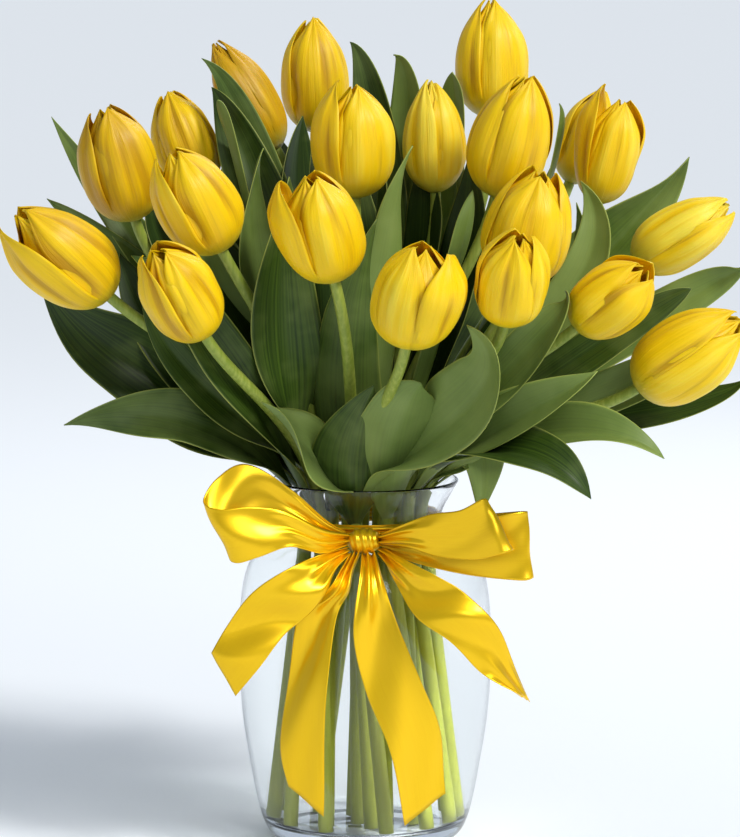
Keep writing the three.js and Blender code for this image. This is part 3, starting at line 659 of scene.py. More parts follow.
def grown(
    tree: bpy.types.NodeTree, points: Sequence[Vector], inputs: dict[str, Any]
) -> bpy.types.Mesh:
    """Runs a geometry tree on a line of points.

    Args:
        tree: The tree.
        points: The line, in millimetres.
        inputs: The tree's inputs by name.

    Returns:
        The result as a plain mesh in metres, facing outwards.
    """
    line = bpy.data.meshes.new("line")
    line.from_pydata([p * MM for p in points], [(i, i + 1) for i in range(len(points) - 1)], [])
    holder = new_object("holder", line)
    modifier = holder.modifiers.new("grow", "NODES")
    modifier.node_group = tree
    for item in tree.interface.items_tree:
        if item.item_type == "SOCKET" and item.in_out == "INPUT" and item.name in inputs:
            modifier[item.identifier] = inputs[item.name]
    depsgraph = bpy.context.evaluated_depsgraph_get()
    made = bpy.data.meshes.new_from_object(holder.evaluated_get(depsgraph))
    bpy.data.objects.remove(holder)
    bpy.data.meshes.remove(line)
    corners = [[made.vertices[v].co for v in p.vertices] for p in made.polygons]
    volume = sum(c[0].dot(c[i].cross(c[i + 1])) for c in corners for i in range(1, len(c) - 1))
    if volume < 0:
        made.flip_normals()
    return made


# Tulips


@dataclass(frozen=True)
class Cubic:
    """A cubic curve with four control points."""

    controls: tuple[Vector, Vector, Vector, Vector]

    def at(self, t: float) -> Vector:
        """Gives the point at share t."""
        a, b, c, d = self.controls
        s = 1 - t
        return a * s**3 + b * (3 * s * s * t) + c * (3 * s * t * t) + d * t**3


@dataclass(frozen=True)
class Tulip:
    """A tulip: its ring and angle in the neck, its bloom's seat, axis, length and radius, how open it is
    (0 to 1), how far its nearest petal is turned away from the front, in degrees, and how much painted
    light (1) or painted shade (-1) makes it lighter or darker than the others."""

    name: str
    ring: float
    turn: float
    seat: tuple[float, float, float]
    axis: tuple[float, float, float]
    length: float
    radius: float
    open: float
    facing: float
    tone: float = 0


@dataclass(frozen=True)
class Leaf:
    """A leaf: the tulip it grows on, the height where it leaves the stem, a point that its midrib passes,
    its tip, its width, how far it twists to the front, its bend aside and down from there in degrees, how
    much painted light (1) or painted shade (-1) lightens or darkens it, where that isn't left to chance (0),
    how blunt its tip is, from 1 up, how many degrees from the stem it leaves it, and how many times steeper
    than the others it is folded."""

    on: str
    start: float
    over: tuple[float, float, float]
    tip: tuple[float, float, float]
    width: float
    twist: float
    aside: float = 0
    down: float = 0
    tone: float = 0
    blunt: float = 2
    lean: float = 30
    fold: float = 1


TULIPS = [
    Tulip("01", 30, -168, (-130, -35, 288), (-0.66, -0.34, 0.66), 66, 20, 0.45, 45, -0.5),
    Tulip("02", 30, 160, (-119, 6, 324), (-0.26, -0.17, 0.95), 62, 20, 0.5, 25, -1),
    Tulip("03", 18.5, 120, (-86, 44, 338), (-0.34, 0, 0.94), 57, 16.5, 0.35, 10, -0.3),
    Tulip("04", 18.5, -155, (-72, -45, 312), (-0.42, -0.24, 0.87), 62, 19.5, 0.45, 35, -0.2),
    Tulip("05", 30, -138, (-80, -78, 273), (-0.4, -0.48, 0.78), 58, 18, 0.55, 40, -0.5),
    Tulip("06", 30, 128, (-47, 54, 358), (-0.5, 0, 0.87), 65, 14.5, 0.12, -35, -1.1),
    Tulip("07", 30, 98, (-26, 82, 366), (-0.04, 0, 1), 62, 18, 0.25, 10, -0.3),
    Tulip("08", 7, -130, (-5, -15, 337), (-0.02, -0.15, 0.99), 62, 20.5, 0.2, 35),
    Tulip("09", 18.5, -105, (-15, -80, 300), (-0.22, -0.3, 0.93), 61, 20, 0.5, 30),
    Tulip("10", 7, 100, (37, 30, 337), (-0.04, -0.09, 1), 60, 16, 0.12, 60, 0.5),
    Tulip("11", 30, 62, (68, 68, 374), (-0.02, 0, 1), 63, 19, 0.12, 35),
    Tulip("12", 7, -10, (67, -10, 337), (0.24, -0.14, 0.96), 66, 20, 0.22, 30, -0.1),
    Tulip("13", 30, 34, (110, 80, 339), (0.34, 0.05, 0.94), 56, 14, 0.15, 0),
    Tulip("14", 18.5, 5, (122, 35, 331), (0.22, -0.09, 0.97), 60, 15.5, 0.4, 18),
    Tulip("15", 18.5, -50, (76, -50, 296), (0.22, -0.2, 0.96), 61, 21.5, 0.5, -10),
    Tulip("16", 30, -68, (69, -96, 281), (0.13, -0.48, 0.87), 51, 17.5, 0.55, -25),
    Tulip("17", 30, -98, (20.5, -98, 270), (0.16, -0.38, 0.91), 56, 21, 0.48, -50),
    Tulip("18", 30, -42, (106, -64, 275), (0.68, -0.36, 0.64), 52, 16.5, 0.4, 50),
    Tulip("19", 30, 8, (140, 12, 301), (0.84, -0.09, 0.53), 62, 16, 0.3, 60, 0.5),
    Tulip("20", 30, -18, (138, -45, 242), (0.8, -0.2, 0.56), 65, 20.5, 0.35, 50),
]

LEAVES = [
    Leaf("18", 184, (74, -80, 214), (112, -98, 193), 38, 0.5, fold=1.5),
    Leaf("17", 166, (-8, -57, 204), (6, -84, 242), 40, 0, 0, -6, blunt=2.4),
    Leaf("16", 168, (16, -66, 222), (28, -82, 249), 38, 0, 0, 0, 0.5, 4),
    Leaf("09", 168, (-30, -48, 212), (-52, -61, 237), 42, 0.7, tone=0.9),
    Leaf("17", 174, (53, -85, 239), (50, -103, 280), 43, 0.9, tone=0.7, blunt=2.4),
    Leaf("08", 172, (-9, -34, 256), (6, -44, 328), 36, 0, tone=-0.3),
    Leaf("04", 172, (-50, -40, 272), (-48, -56, 344), 44, 0.8, 0, -6, -0.6, lean=56),
    Leaf("05", 170, (-80, -56, 262), (-124, -60, 305), 32, 0.9, 0, -3),
    Leaf("18", 180, (78, -72, 230), (115, -92, 256), 28, 1, tone=0.8, fold=2.4),
    Leaf("20", 186, (104, -62, 228), (151, -72, 220), 29, 0.8, -3, 4, tone=0.4, fold=2),
    Leaf("01", 172, (-92, -28, 223), (-153, -44, 223), 34, 1, tone=-0.4, fold=1.6),
    Leaf("02", 172, (-109, 4, 240), (-169, 4, 293), 55, 1, 0, 0, -0.8),
    Leaf("04", 178, (-82, -28, 240), (-114, -30, 296), 22, 1, tone=-0.4),
    Leaf("03", 176, (-110, 28, 286), (-166, 12, 334), 22, 1, -3, 0),
    Leaf("02", 180, (-109, 34, 294), (-165, 40, 376), 25, 1, tone=0.2),
    Leaf("19", 186, (140, -10, 224), (196, -18, 244), 24, 0.8),
    Leaf("18", 178, (118, -34, 262), (166, -36, 292), 24, 1),
    Leaf("19", 178, (150, 34, 269), (198, 26, 298), 28, 1, tone=0.4),
    Leaf("13", 178, (118, 60, 290), (172, 54, 354), 40, 1, tone=0.3, fold=3),
    Leaf("08", 178, (14, -42, 300), (30, -50, 362), 22, 0, 0, -3),
    Leaf("03", 182, (-62, 12, 330), (-76, 6, 386), 20, 0),
    Leaf("06", 174, (-53, 34, 332), (-85, 24, 407), 42, 0.9, tone=-0.3, blunt=1.1),
    Leaf("07", 176, (9, 46, 342), (-8, 50, 415), 34, 0.5, blunt=1.5),
    Leaf("10", 178, (24, 50, 346), (15, 54, 408), 30, 0, tone=0.9, blunt=1.6),
    Leaf("11", 176, (46, 56, 330), (46, 54, 399), 30, 0, tone=0.5, blunt=3),
    Leaf("11", 182, (89, 40, 318), (102, 38, 383), 18, 0),
    Leaf("12", 180, (100, -14, 280), (111, -6, 345), 25, 1, tone=0.9, blunt=3.4),
    Leaf("12", 186, (44, -22, 290), (55, -20, 341), 18, 0),
    Leaf("16", 178, (84, -66, 262), (104, -62, 294), 26, 1, -6, 0),
    Leaf("06", 180, (-52, 30, 300), (-40, 26, 372), 34, 0.8, -21, 9),
    Leaf("10", 190, (-2, 34, 286), (-8, 38, 356), 34, 0, 0, -3),
    Leaf("13", 182, (86, 38, 268), (92, 34, 340), 28, 0.3, -12, 6),
    Leaf("04", 188, (-56, -12, 300), (-52, -10, 362), 30, 0.6),
    Leaf("03", 190, (-84, 26, 262), (-104, 18, 318), 30, 1, 18, -9),
    Leaf("20", 182, (128, -44, 262), (158, -38, 300), 24, 1, 12, 9),
    Leaf("13", 174, (106, 88, 240), (148, 116, 262), 30, 0, 0, -3),
    Leaf("11", 172, (62, 96, 258), (88, 146, 300), 32, 0),
    Leaf("07", 172, (-22, 96, 240), (-38, 156, 268), 34, 0),
    Leaf("07", 180, (14, 104, 214), (22, 166, 204), 30, 0, 0, 9),
    Leaf("06", 180, (-72, 88, 250), (-112, 136, 288), 30, 0),
    Leaf("02", 186, (-100, 64, 226), (-136, 84, 224), 22, 0.5),
    Leaf("19", 184, (114, 66, 220), (152, 86, 208), 28, 0.5, -3, 0),
    Leaf("10", 184, (44, 78, 290), (40, 112, 344), 26, 0, -12, -12),
    # These stand deep in the bunch and show only as the green behind the others; their tone paints them in
    # shade.
    Leaf("08", 178, (-52, 14, 322), (-80, 26, 392), 36, 0.9, tone=-0.8),
    Leaf("08", 176, (-16, 14, 290), (-26, 26, 376), 38, 0.3, tone=-1),
    Leaf("10", 180, (14, 10, 282), (10, 14, 364), 36, 0, tone=-1),
    Leaf("10", 182, (31, 28, 292), (29, 34, 352), 40, 0, tone=-1),
    Leaf("12", 178, (48, 14, 278), (54, 26, 356), 40, 0.2, tone=-1),
    Leaf("12", 176, (76, 8, 262), (100, 18, 330), 36, 0.4, tone=-1),
    Leaf("03", 176, (-62, 8, 276), (-110, 22, 346), 36, 0.8, tone=-1),
    Leaf("07", 178, (-34, 44, 298), (-33, 52, 376), 46, 0.2, tone=-1, blunt=3),
    Leaf("06", 182, (-42, 70, 290), (-47, 90, 364), 60, 0, tone=-1, blunt=3),
    Leaf("03", 180, (-84, 16, 280), (-112, 22, 334), 40, 0.6, tone=-1, blunt=3),
    Leaf("02", 176, (-94, 14, 250), (-128, 16, 306), 36, 1, tone=-1, blunt=2.6),
    # This one hangs over the lip of the vase.
    Leaf("20", 178, (54, -14, 207), (59, -18, 171), 30, 1, tone=0.6, blunt=3, lean=5),
]


def direction(points: Sequence[float]) -> Vector:
    """Gives a unit vector."""
    return Vector(points).normalized()


def crossed(a: Vector, b: Vector) -> Vector:
    """Gives the unit vector square to both."""
    return a.cross(b).normalized()


@dataclass(frozen=True)
class StemPath:
    """A stem's way: straight from the floor to the neck of the vase, then curved to the bloom."""

    tulip: Tulip
    neck_height: float = 163
    floor: float = 10
    lean: float = 1.36  # how far out the foot would be, in rings, if the stem ran on as it leaves the neck
    spread: float = 1.5  # and how far out it stands
    foot_turn: float = 22
    rise: float = 0.42  # share of the way that it keeps straight above the neck
    reach: float = 0.3  # and under the bloom
    search: float = 0.005  # share of the curve, in the search for a height on it

    def polar(self, r: float, angle: float, z: float) -> Vector:
        """Gives the point at a radius, an angle in degrees and a height."""
        return Vector((r * math.cos(math.radians(angle)), r * math.sin(math.radians(angle)), z))

    def foot(self, spread: float) -> Vector:
        """Gives the stem's lower end, so many rings from the middle of the floor."""
        tulip = self.tulip
        low = self.floor + 2 * SEAT_GAP
        return self.polar(tulip.ring * spread, tulip.turn + self.foot_turn, low)

    @property
    def curve(self) -> Cubic:
        """Gives the curve above the neck."""
        neck = self.polar(self.tulip.ring, self.tulip.turn, self.neck_height)
        top = Vector(self.tulip.seat)
        way = (top - neck).length
        up = (neck - self.foot(self.lean)).normalized()
        rising = neck + up * way * self.rise
        reaching = top - direction(self.tulip.axis) * way * self.reach
        return Cubic((neck, rising, reaching, top))

    def line(self, steps: int, into: float) -> list[Vector]:
        """Gives points along the stem.

        Args:
            steps: How many above the neck, and half as many below it.
            into: How far the stem goes on into the bloom.

        Returns:
            The points from the foot up.
        """
        curve = self.curve
        foot = self.foot(self.spread)
        low = [foot.lerp(curve.at(0), 2 * i / steps) for i in range(steps // 2)]
        high = [curve.at(i / steps) for i in range(steps + 1)]
        return [*low, *high, high[-1] + direction(self.tulip.axis) * into]

    def at_height(self, height: float) -> tuple[Vector, Vector]:
        """Finds a place on the stem.

        Args:
            height: Its height, near the neck.

        Returns:
            The point, and the stem's direction there.
        """
        curve = self.curve
        t = 0.0
        while curve.at(t).z < height and t < 1:
            t += self.search
        here = curve.at(t)
        return here, (curve.at(t + 2 * self.search) - here).normalized()


def new_tree(name: str, sizes: dict[str, str]) -> tuple[bpy.types.NodeTree, Any]:
    """Makes a geometry tree that takes and gives a geometry.

    Args:
        name: The tree's name.
        sizes: Its other inputs, with the type of each.

    Returns:
        The tree, and the sockets of its inputs by name.
    """
    tree = bpy.data.node_groups.new(name, "GeometryNodeTree")
    new = tree.interface.new_socket
    for label, kind in {"Geometry": "Geometry", **sizes}.items():
        new(label, in_out="INPUT", socket_type=f"NodeSocket{kind}")
    new("Geometry", in_out="OUTPUT", socket_type="NodeSocketGeometry")
    return tree, add_node(tree, "NodeGroupInput").outputs


def dress(tree: bpy.types.NodeTree, shape: bpy.types.Node, finish: bpy.types.Material) -> None:
    """Ends a geometry tree: its shape is made real, dressed and given out.

    Args:
        tree: The tree.
        shape: The node that gives the shape.
        finish: The shape's material.
    """
    real = add_node(tree, "GeometryNodeRealizeInstances", links={0: shape})
    dressed = add_node(tree, "GeometryNodeSetMaterial", {"Material": finish}, {0: real})
    add_node(tree, "NodeGroupOutput", links={0: dressed})


class StemSweep:
    """The geometry tree that sweeps a round stem along a line of points."""

    def __init__(self, finish: bpy.types.Material) -> None:
        """Builds the tree.

        Args:
            finish: The stem's material.
        """
        sizes = {"Foot Radius": "Float", "Top Radius": "Float", "Sides": "Int"}
        tree, given = new_tree("stem_sweep", sizes)
        curve = add_node(tree, "GeometryNodeMeshToCurve", links={"Mesh": given["Geometry"]})
        way = add_node(tree, "GeometryNodeSplineParameter").outputs["Factor"]
        ends = {"To Min": given["Foot Radius"], "To Max": given["Top Radius"]}
        radius = add_node(tree, "ShaderNodeMapRange", links={"Value": way, **ends})
        sides = {"Resolution": given["Sides"]}
        ring = add_node(tree, "GeometryNodeCurvePrimitiveCircle", {"Radius": 1.0}, sides)
        parts = {"Curve": curve, "Profile Curve": ring, "Scale": radius}
        tube = add_node(tree, "GeometryNodeCurveToMesh", {"Fill Caps": True}, parts)
        dress(tree, tube, finish)
        self.tree = tree


class StamenRing:
    """The geometry tree that stands stamens in a ring round a pistil."""

    filament: Sizes = {"Vertices": 8, "Radius Top": 0.5 * MM, "Radius Bottom": 0.8 * MM, "Depth": 9 * MM}
    anther: Sizes = {"Segments": 10, "Rings": 8, "Radius": 1.5 * MM}
    raised: Sizes = {"Translation": (0, 0, 13 * MM), "Scale": (1.0, 0.7, 3.4)}
    pistil: Sizes = {"Vertices": 12, "Radius Top": 1.6 * MM, "Radius Bottom": 2.4 * MM, "Depth": 17 * MM}
    lean: Sizes = {0: (-0.12, -0.12, 0.0), 1: (0.12, 0.12, 3.1)}  # radians, at least and at most

    def __init__(self, finish: bpy.types.Material) -> None:
        """Builds the tree.

        Args:
            finish: The stamens' material.
        """
        sizes = {"Count": "Int", "Ring Radius": "Float", "Height": "Float", "Seed": "Int"}
        tree, given = new_tree("stamen_ring", sizes)
        filament = add_node(tree, "GeometryNodeMeshCone", self.filament)
        anther = add_node(tree, "GeometryNodeMeshUVSphere", self.anther)
        raised = add_node(tree, "GeometryNodeTransform", self.raised, {0: anther})
        stamen = add_node(tree, "GeometryNodeJoinGeometry", links={0: raised})
        tree.links.new(filament.outputs[0], stamen.inputs[0])
        round_it = {"Vertices": given["Count"], "Radius": given["Ring Radius"]}
        circle = add_node(tree, "GeometryNodeMeshCircle", links=round_it)
        chance = {"data_type": "FLOAT_VECTOR", **self.lean}
        lean = add_node(tree, "FunctionNodeRandomValue", chance, {"Seed": given["Seed"]})
        stand = {"Points": circle, "Instance": stamen, "Rotation": lean}
        stood = add_node(tree, "GeometryNodeInstanceOnPoints", links=stand)
        pistil = add_node(tree, "GeometryNodeMeshCone", self.pistil)
        both = add_node(tree, "GeometryNodeJoinGeometry", links={0: pistil})
        tree.links.new(stood.outputs[0], both.inputs[0])
        high = add_node(tree, "ShaderNodeCombineXYZ", links={"Z": given["Height"]})
        lifted = add_node(tree, "GeometryNodeTransform", links={0: both, "Translation": high})
        dress(tree, lifted, finish)
        self.tree = tree


@dataclass
class LeafyStems:
    """The stems, each with its leaves."""

    foot_radius: float = 3.8
    top_radius: float = 2.8
    sides: int = 20
    steps: int = 28
    into_bloom: float = 2.0
    rows: int = 46
    columns: int = 17
    thick: float = 0.8
    thinned: float = 0.65  # share of its thickness that a leaf loses at its edges
    root: float = 1.8  # half width inside the stem
    front: tuple[float, float, float] = (0, -0.86, 0.5)  # where a fully twisted blade looks
    rise: float = 0.42  # share of the way to its middle that a leaf keeps its first direction
    middle: float = 0.6  # share of the length where the midrib passes its middle point
    widest: float = 0.46  # share of the length
    open_by: float = 0.5  # share of the length where the gutter has opened
    hug: float = 7  # radius of the gutter by the stem
    flat: float = 1.5  # radius of the blade's curve, in widths
    vee: float = 0.22  # how steeply the two halves rise from the midrib
    tip_twist: float = 1.0  # radians, at most, that a tip is twisted on its own
    twisted: float = 0.6  # share of the length where that twist begins
    uneven: float = 0.07  # share by which the outline swings in and out
    near: float = 0.02  # share of the length either side that the midrib's direction is taken over
    calm: tuple[float, float] = (0.3, 0.4)  # shares of the length by which the fold and the waves are full
    wave: float = 0.1  # depth of the edges' wave, in widths
    ruffle: float = 0.04  # and of the shorter waves on it
    crease: float = 0.7  # depth of the groove along the midrib
    crease_width: float = 1.6  # and half its width
    least: float = 0.12  # half width at the very tip
    tone_range: float = 0.7  # how light or dark chance makes a leaf

    def midrib(self, leaf: Leaf) -> tuple[Cubic, Vector]:
        """Lays out a leaf's midrib.

        Args:
            leaf: The leaf.

        Returns:
            The midrib's curve, and the level direction across its root.
        """
        tulip = next(t for t in TULIPS if t.name == leaf.on)
        root, along = StemPath(tulip).at_height(leaf.start)
        away = Vector(leaf.over) - root
        out = direction((away.x, away.y, 0))
        turn = Quaternion(UP, math.radians(leaf.aside))

        def swing(point: Sequence[float]) -> Vector:
            """Turns a point round the root by the leaf's two bends."""
            arm = turn @ (Vector(point) - root)
            hinge = crossed(UP, Vector((arm.x, arm.y, 0)))
            return Quaternion(hinge, math.radians(leaf.down)) @ arm + root

        over, tip = swing(leaf.over), swing(leaf.tip)
        leaving = (along + out * math.tan(math.radians(leaf.lean))).normalized()
        rise = root + leaving * (over - root).length * self.rise
        m, s = self.middle, 1 - self.middle
        bend = (over - root * s**3 - rise * 3 * s * s * m - tip * m**3) / (3 * s * m * m)
        return Cubic((root, rise, bend, tip)), crossed(turn @ out, UP)

    def blade(self, leaf: Leaf, k: int) -> Points:
        """Gives the middle face of a leaf: a gutter at the stem that opens into a broad blade.

        Args:
            leaf: The leaf.
            k: Its number, which sets its waves.

        Returns:
            The grid of points.
        """
        curve, across = self.midrib(leaf)
        width = leaf.width
        u = np.linspace(-1, 1, self.columns)

        def frame_at(t: float, roll: float) -> tuple[Vector, Vector]:
            """Gives the directions across and out of the blade, at share t and turned by roll."""
            along = (curve.at(min(1, t + self.near)) - curve.at(max(0, t - self.near))).normalized()
            flat = (across - along * across.dot(along)).normalized()
            late = smooth((t - self.twisted) / (1 - self.twisted))
            own = self.tip_twist * sway(k + 5) * late if leaf.blunt == Leaf.blunt else 0
            side = Quaternion(along, roll * smooth(t / self.middle) + own) @ flat
            return side, crossed(side, along)

        side, face = frame_at(self.middle, 0)
        front = Vector(self.front)
        roll = leaf.twist * math.atan2(front.dot(side), front.dot(face))
        grid = np.empty((self.rows, self.columns, 3))
        for j, t in enumerate(np.linspace(0, 1, self.rows)):
            side, face = frame_at(t, roll)
            if t < self.widest:
                half = self.root + (width / 2 - self.root) * smooth(t / self.widest)
            else:
                half = width / 2 * (1 - ((t - self.widest) / (1 - self.widest)) ** leaf.blunt)
            half = max(self.least, half)
            folded, waved = (smooth(t / full) for full in self.calm)
            curl = lerp(self.hug, self.flat * width, smooth(t / self.open_by))
            swing = 1 + self.uneven * np.sin(8 * t + 5 * sway(k + 1) + 2 * u) * folded
            angle = u * half / curl * swing
            wave = self.wave * u * u * np.sin(9 * t + 2.6 * u + 5 * sway(k))
            ruffle = self.ruffle * np.abs(u) ** 3 * np.sin(21 * t + 3 * u + 9 * sway(k + 3))
            groove = self.crease * np.exp(-((u * half / self.crease_width) ** 2)) * (1 - t)
            fold = self.vee * leaf.fold * half * (np.sqrt(u * u + 0.01) - 0.1)
            lift = curl * (1 - np.cos(angle)) + (fold - groove) * folded
            lift = lift + (wave + ruffle) * width * waved * (1 - t)
            middle = np.array(curve.at(t))
            grid[j] = middle + np.outer(curl * np.sin(angle), side) + np.outer(lift, face)
        return grid

    def build(self, stem: bpy.types.Material, leaf: bpy.types.Material) -> None:
        """Builds each stem with its leaves.

        Args:
            stem: The stems' material.
            leaf: The leaves' material.
        """
        sweep = StemSweep(stem)
        ends = {"Foot Radius": self.foot_radius * MM, "Top Radius": self.top_radius * MM}
        u = np.linspace(-1, 1, self.columns)
        half = np.tile(self.thick / 2 * (1 - self.thinned * u**4), (self.rows, 1))
        for tulip in TULIPS:
            draft = Draft()
            line = StemPath(tulip).line(self.steps, self.into_bloom)
            draft.take(grown(sweep.tree, line, {**ends, "Sides": self.sides}), Matrix.Identity(4))
            for k, one in enumerate(LEAVES):
                if one.on == tulip.name:
                    # A tone given in the table paints light or shade on the leaf; otherwise chance gives it
                    # one of its own.
                    tone = one.tone or self.tone_range * sway(2 * k + 1)
                    draft.blade(self.blade(one, k), half, 1, tone)
            piece = draft.piece(f"stem_and_leaves_{tulip.name}", [stem, leaf])
            settle(piece, f"leafy_stem_{tulip.name}")


@dataclass(frozen=True)
class Whorl:
    """One whorl of three petals: its height, its turn in degrees, how far inwards it stands, how far the
    tips of an open bloom bend out, at least and at most, half the angle that a petal covers, the share of the
    bloom's opening that it follows, and the share of its radius by which its tips fold in over the heart."""

    reach: float
    turn: float
    set_in: float
    flare: tuple[float, float]
    half_angle: float
    opening: float
    fold: float


OUTER = Whorl(1.0, 0, 0.0, (0.2, 1.6), 65, 0.85, 0.15)
INNER = Whorl(0.99, 60, 1.3, (-0.3, 0.5), 64, 0.75, 0.4)
# The outer petals that peel off a bloom: by how many mm at the tip, and how many mm longer they are.
PEELING = {
    "01": {2: (7, 2)},
    "04": {2: (3, 0)},
    "08": {2: (3, 4)},
    "09": {2: (9, 0)},
    "12": {1: (4, 0)},
    "14": {1: (3, 0), 2: (7, 5)},
    "17": {1: (6, 0)},
    "18": {0: (3, 0), 1: (3, 2)},
    "19": {0: (2, 1)},
}
# How many times deeper the folds of a bloom's tips are.
CRINKLED = {"05": 3.2, "15": 1.6, "16": 2.2, "09": 1.5, "20": 1.4, "04": 1.3}


@dataclass
class Blooms:
    """The tulip blooms, each with three outer and three inner petals round its stamens."""

    rows: int = 36
    columns: int = 31
    heart: Sizes = {"Count": 6, "Ring Radius": 4.2 * MM, "Height": 5 * MM}  # the ring of stamens
    thick: float = 0.6
    thinned: float = 0.7  # share of its thickness that a petal loses at its edges
    calyx: float = 3.2  # radius where the petals leave the stem
    rim: float = 0.12  # share of the length where the petals part
    belly: float = 0.42  # share of the length where a bloom is widest
    roundness: float = 2.6
    shut: float = 0.86  # share by which the radius shrinks to the tips of a closed bloom
    opened: float = 0.26  # and of an open one
    sharp: float = 2.2
    tip_sharpness: float = 8.5
    tip_radius: float = 1.2
    tuck: float = 0.8  # mm that the edges of a petal bend inwards
    overlap: float = 1.2  # mm that one edge stands outside its neighbour's
    ripple: float = 0.8  # mm, along a petal's edges
    ridge: float = 0.45  # mm, along a petal's middle, with a groove on both sides
    ridge_width: float = 0.07  # and how wide it is, in half petals
    groove_at: float = 0.17  # and how far out the grooves are
    folds: tuple[float, float] = (1.3, 0.5)  # mm, of the wide and the narrow ribs along a petal
    fold_level: float = 0.6  # where the ribs meet the petal's face, as a share of their height
    torn: float = 0.009  # share of the length by which an even tip is ragged
    swell: float = 0.6  # mm, of the slow bulges
    shorter: float = 0.08  # share of the length by which a petal may be shorter than its neighbours
    # How much lighter painted shade in the grooves, painted highlight on the relief, chance and painted shade
    # on edges under another petal make a petal.
    shading: tuple[float, float, float, float] = (1.6, 0.4, 0.2, -0.8)

    def radius(self, tulip: Tulip, t: np.ndarray, opening: float) -> np.ndarray:
        """Gives the radius of a whorl.

        Args:
            tulip: The tulip.
            t: Shares of the whorl's length.
            opening: The share of the bloom's opening that the whorl follows.

        Returns:
            The radius at each share.
        """
        low = np.sqrt(1 - np.clip(1 - t / self.belly, 0, 1) ** self.roundness)
        above = np.clip((t - self.belly) / (1 - self.belly), 0, 1)
        high = 1 - lerp(self.shut, self.opened, tulip.open * opening) * above**self.sharp
        return np.maximum(self.calyx, tulip.radius * np.where(t < self.belly, low, high))

    def petal(self, tulip: Tulip, whorl: Whorl, n: int) -> tuple[Points, np.ndarray]:
        """Gives the middle face of one petal, in the bloom's own frame.

        Args:
            tulip: The tulip.
            whorl: The petal's whorl.
            n: The petal's number in it.

        Returns:
            The grid of points, and the petal's tone at each: painted shade and highlight, with a part left to
            chance.
        """
        k = TULIPS.index(tulip)
        seed = 5 * k + 2 * n + whorl.turn
        t = np.linspace(0, 1, self.rows)[:, None] * np.ones(self.columns)
        u = np.linspace(-1, 1, self.columns) * np.ones((self.rows, 1))
        run = np.clip((t - self.rim) / (1 - self.rim), 0, 1)
        half = whorl.half_angle * (1 - run**self.tip_sharpness)
        angle = np.radians(tulip.facing - 90 + whorl.turn + 120 * n + u * half)
        peeled = PEELING.get(tulip.name, {}) if whorl is OUTER else {}
        peel, longer = peeled.get(n, (0, 0))
        flare = (peel + tulip.open * lerp(*whorl.flare, share(seed))) * smooth(run)
        tall = tulip.length * (whorl.reach - self.shorter * share(3 * k + n) * run) + longer * run
        tuck = whorl.set_in + self.tuck * u * u * smooth(run * 3)
        edge = np.abs(u) ** 3 * smooth(run * 2)
        ripple = self.ripple * edge * np.sin(9 * t + 3 * sway(seed) + 2 * u)
        body = np.sin(math.pi * run**0.8)
        crumpled = CRINKLED.get(tulip.name, 1.0)
        crinkle = 1 + (crumpled - 1) * smooth((run - 0.35) / 0.4)
        grooved = np.exp(-(((np.abs(u) - self.groove_at) / self.ridge_width) ** 2))
        middle = np.exp(-((u / self.ridge_width) ** 2)) - 0.8 * grooved
        wide = np.abs(np.cos(3.3 * u + 2.5 * sway(seed + 1) + 0.6 * t)) - self.fold_level
        narrow = np.abs(np.cos(8.1 * u + 5 * sway(seed + 2) - 1.1 * t)) - self.fold_level
        ribs = wide * self.folds[0] + narrow * self.folds[1]
        bulges = self.swell * np.sin(6 * t + 4 * sway(seed + 3)) * np.sin(2.4 * u + 3 * sway(seed))
        relief = (self.ridge * middle + ribs * crinkle + bulges) * body
        lap = self.overlap * u * smooth(run * 4) * (1 - run) if whorl is OUTER else 0
        dome = 1 - whorl.fold * smooth((run - 0.65) / 0.35)
        wall = (self.radius(tulip, t, whorl.opening) - tuck + flare) * dome
        r = np.maximum(self.tip_radius, wall) + ripple + relief + lap
        torn = self.torn * (1 + crumpled) * tulip.length
        ragged = torn * np.sin(11 * u + 5 * sway(seed + 2)) * smooth((run - 0.6) / 0.4)
        z = tall * t + ragged * (1 - run**8)
        # Painted shade on the edges under another petal and in the grooves, painted highlight on the raised
        # relief, and the bloom's own painted light or shade.
        low = smooth((-u - 0.72) / 0.28) if whorl is OUTER else smooth((np.abs(u) - 0.3) / 0.7)
        under = low * body
        painted_groove_shade = (0.9 * np.minimum(wide, -0.1) + 0.5 * np.minimum(narrow, -0.1) + 0.14) * body
        parts = (painted_groove_shade, relief, sway(seed + 4), under)
        tone = tulip.tone + sum(much * part for much, part in zip(self.shading, parts))
        return np.stack([r * np.cos(angle), r * np.sin(angle), z], axis=2), tone

    def build(self, petal: bpy.types.Material, pollen: bpy.types.Material) -> None:
        """Builds each bloom.

        Args:
            petal: The petals' material.
            pollen: The stamens' material.
        """
        ring = StamenRing(pollen)
        u = np.linspace(-1, 1, self.columns)
        half = np.tile(self.thick / 2 * (1 - self.thinned * u**4), (self.rows, 1))
        for k, tulip in enumerate(TULIPS):
            axis = direction(tulip.axis)
            side = crossed(Vector((0, 1, 0)), axis)
            place = Matrix((side, crossed(axis, side), axis)).transposed().to_4x4()
            place.translation = Vector(tulip.seat) + axis * SEAT_GAP
            turn = np.array(place)
            draft = Draft()
            for whorl in (OUTER, INNER):
                for n in range(3):
                    local, tone = self.petal(tulip, whorl, n)
                    draft.blade(local @ turn[:3, :3].T + turn[:3, 3], half, 0, tone)
            sizes = {**self.heart, "Seed": k + 1}
            draft.take(grown(ring.tree, [Vector((0, 0, 0))], sizes), place, 1)
            piece = draft.piece(f"petals_{tulip.name}", [petal, pollen])
            settle(piece, f"bloom_{tulip.name}")


# Vase and water


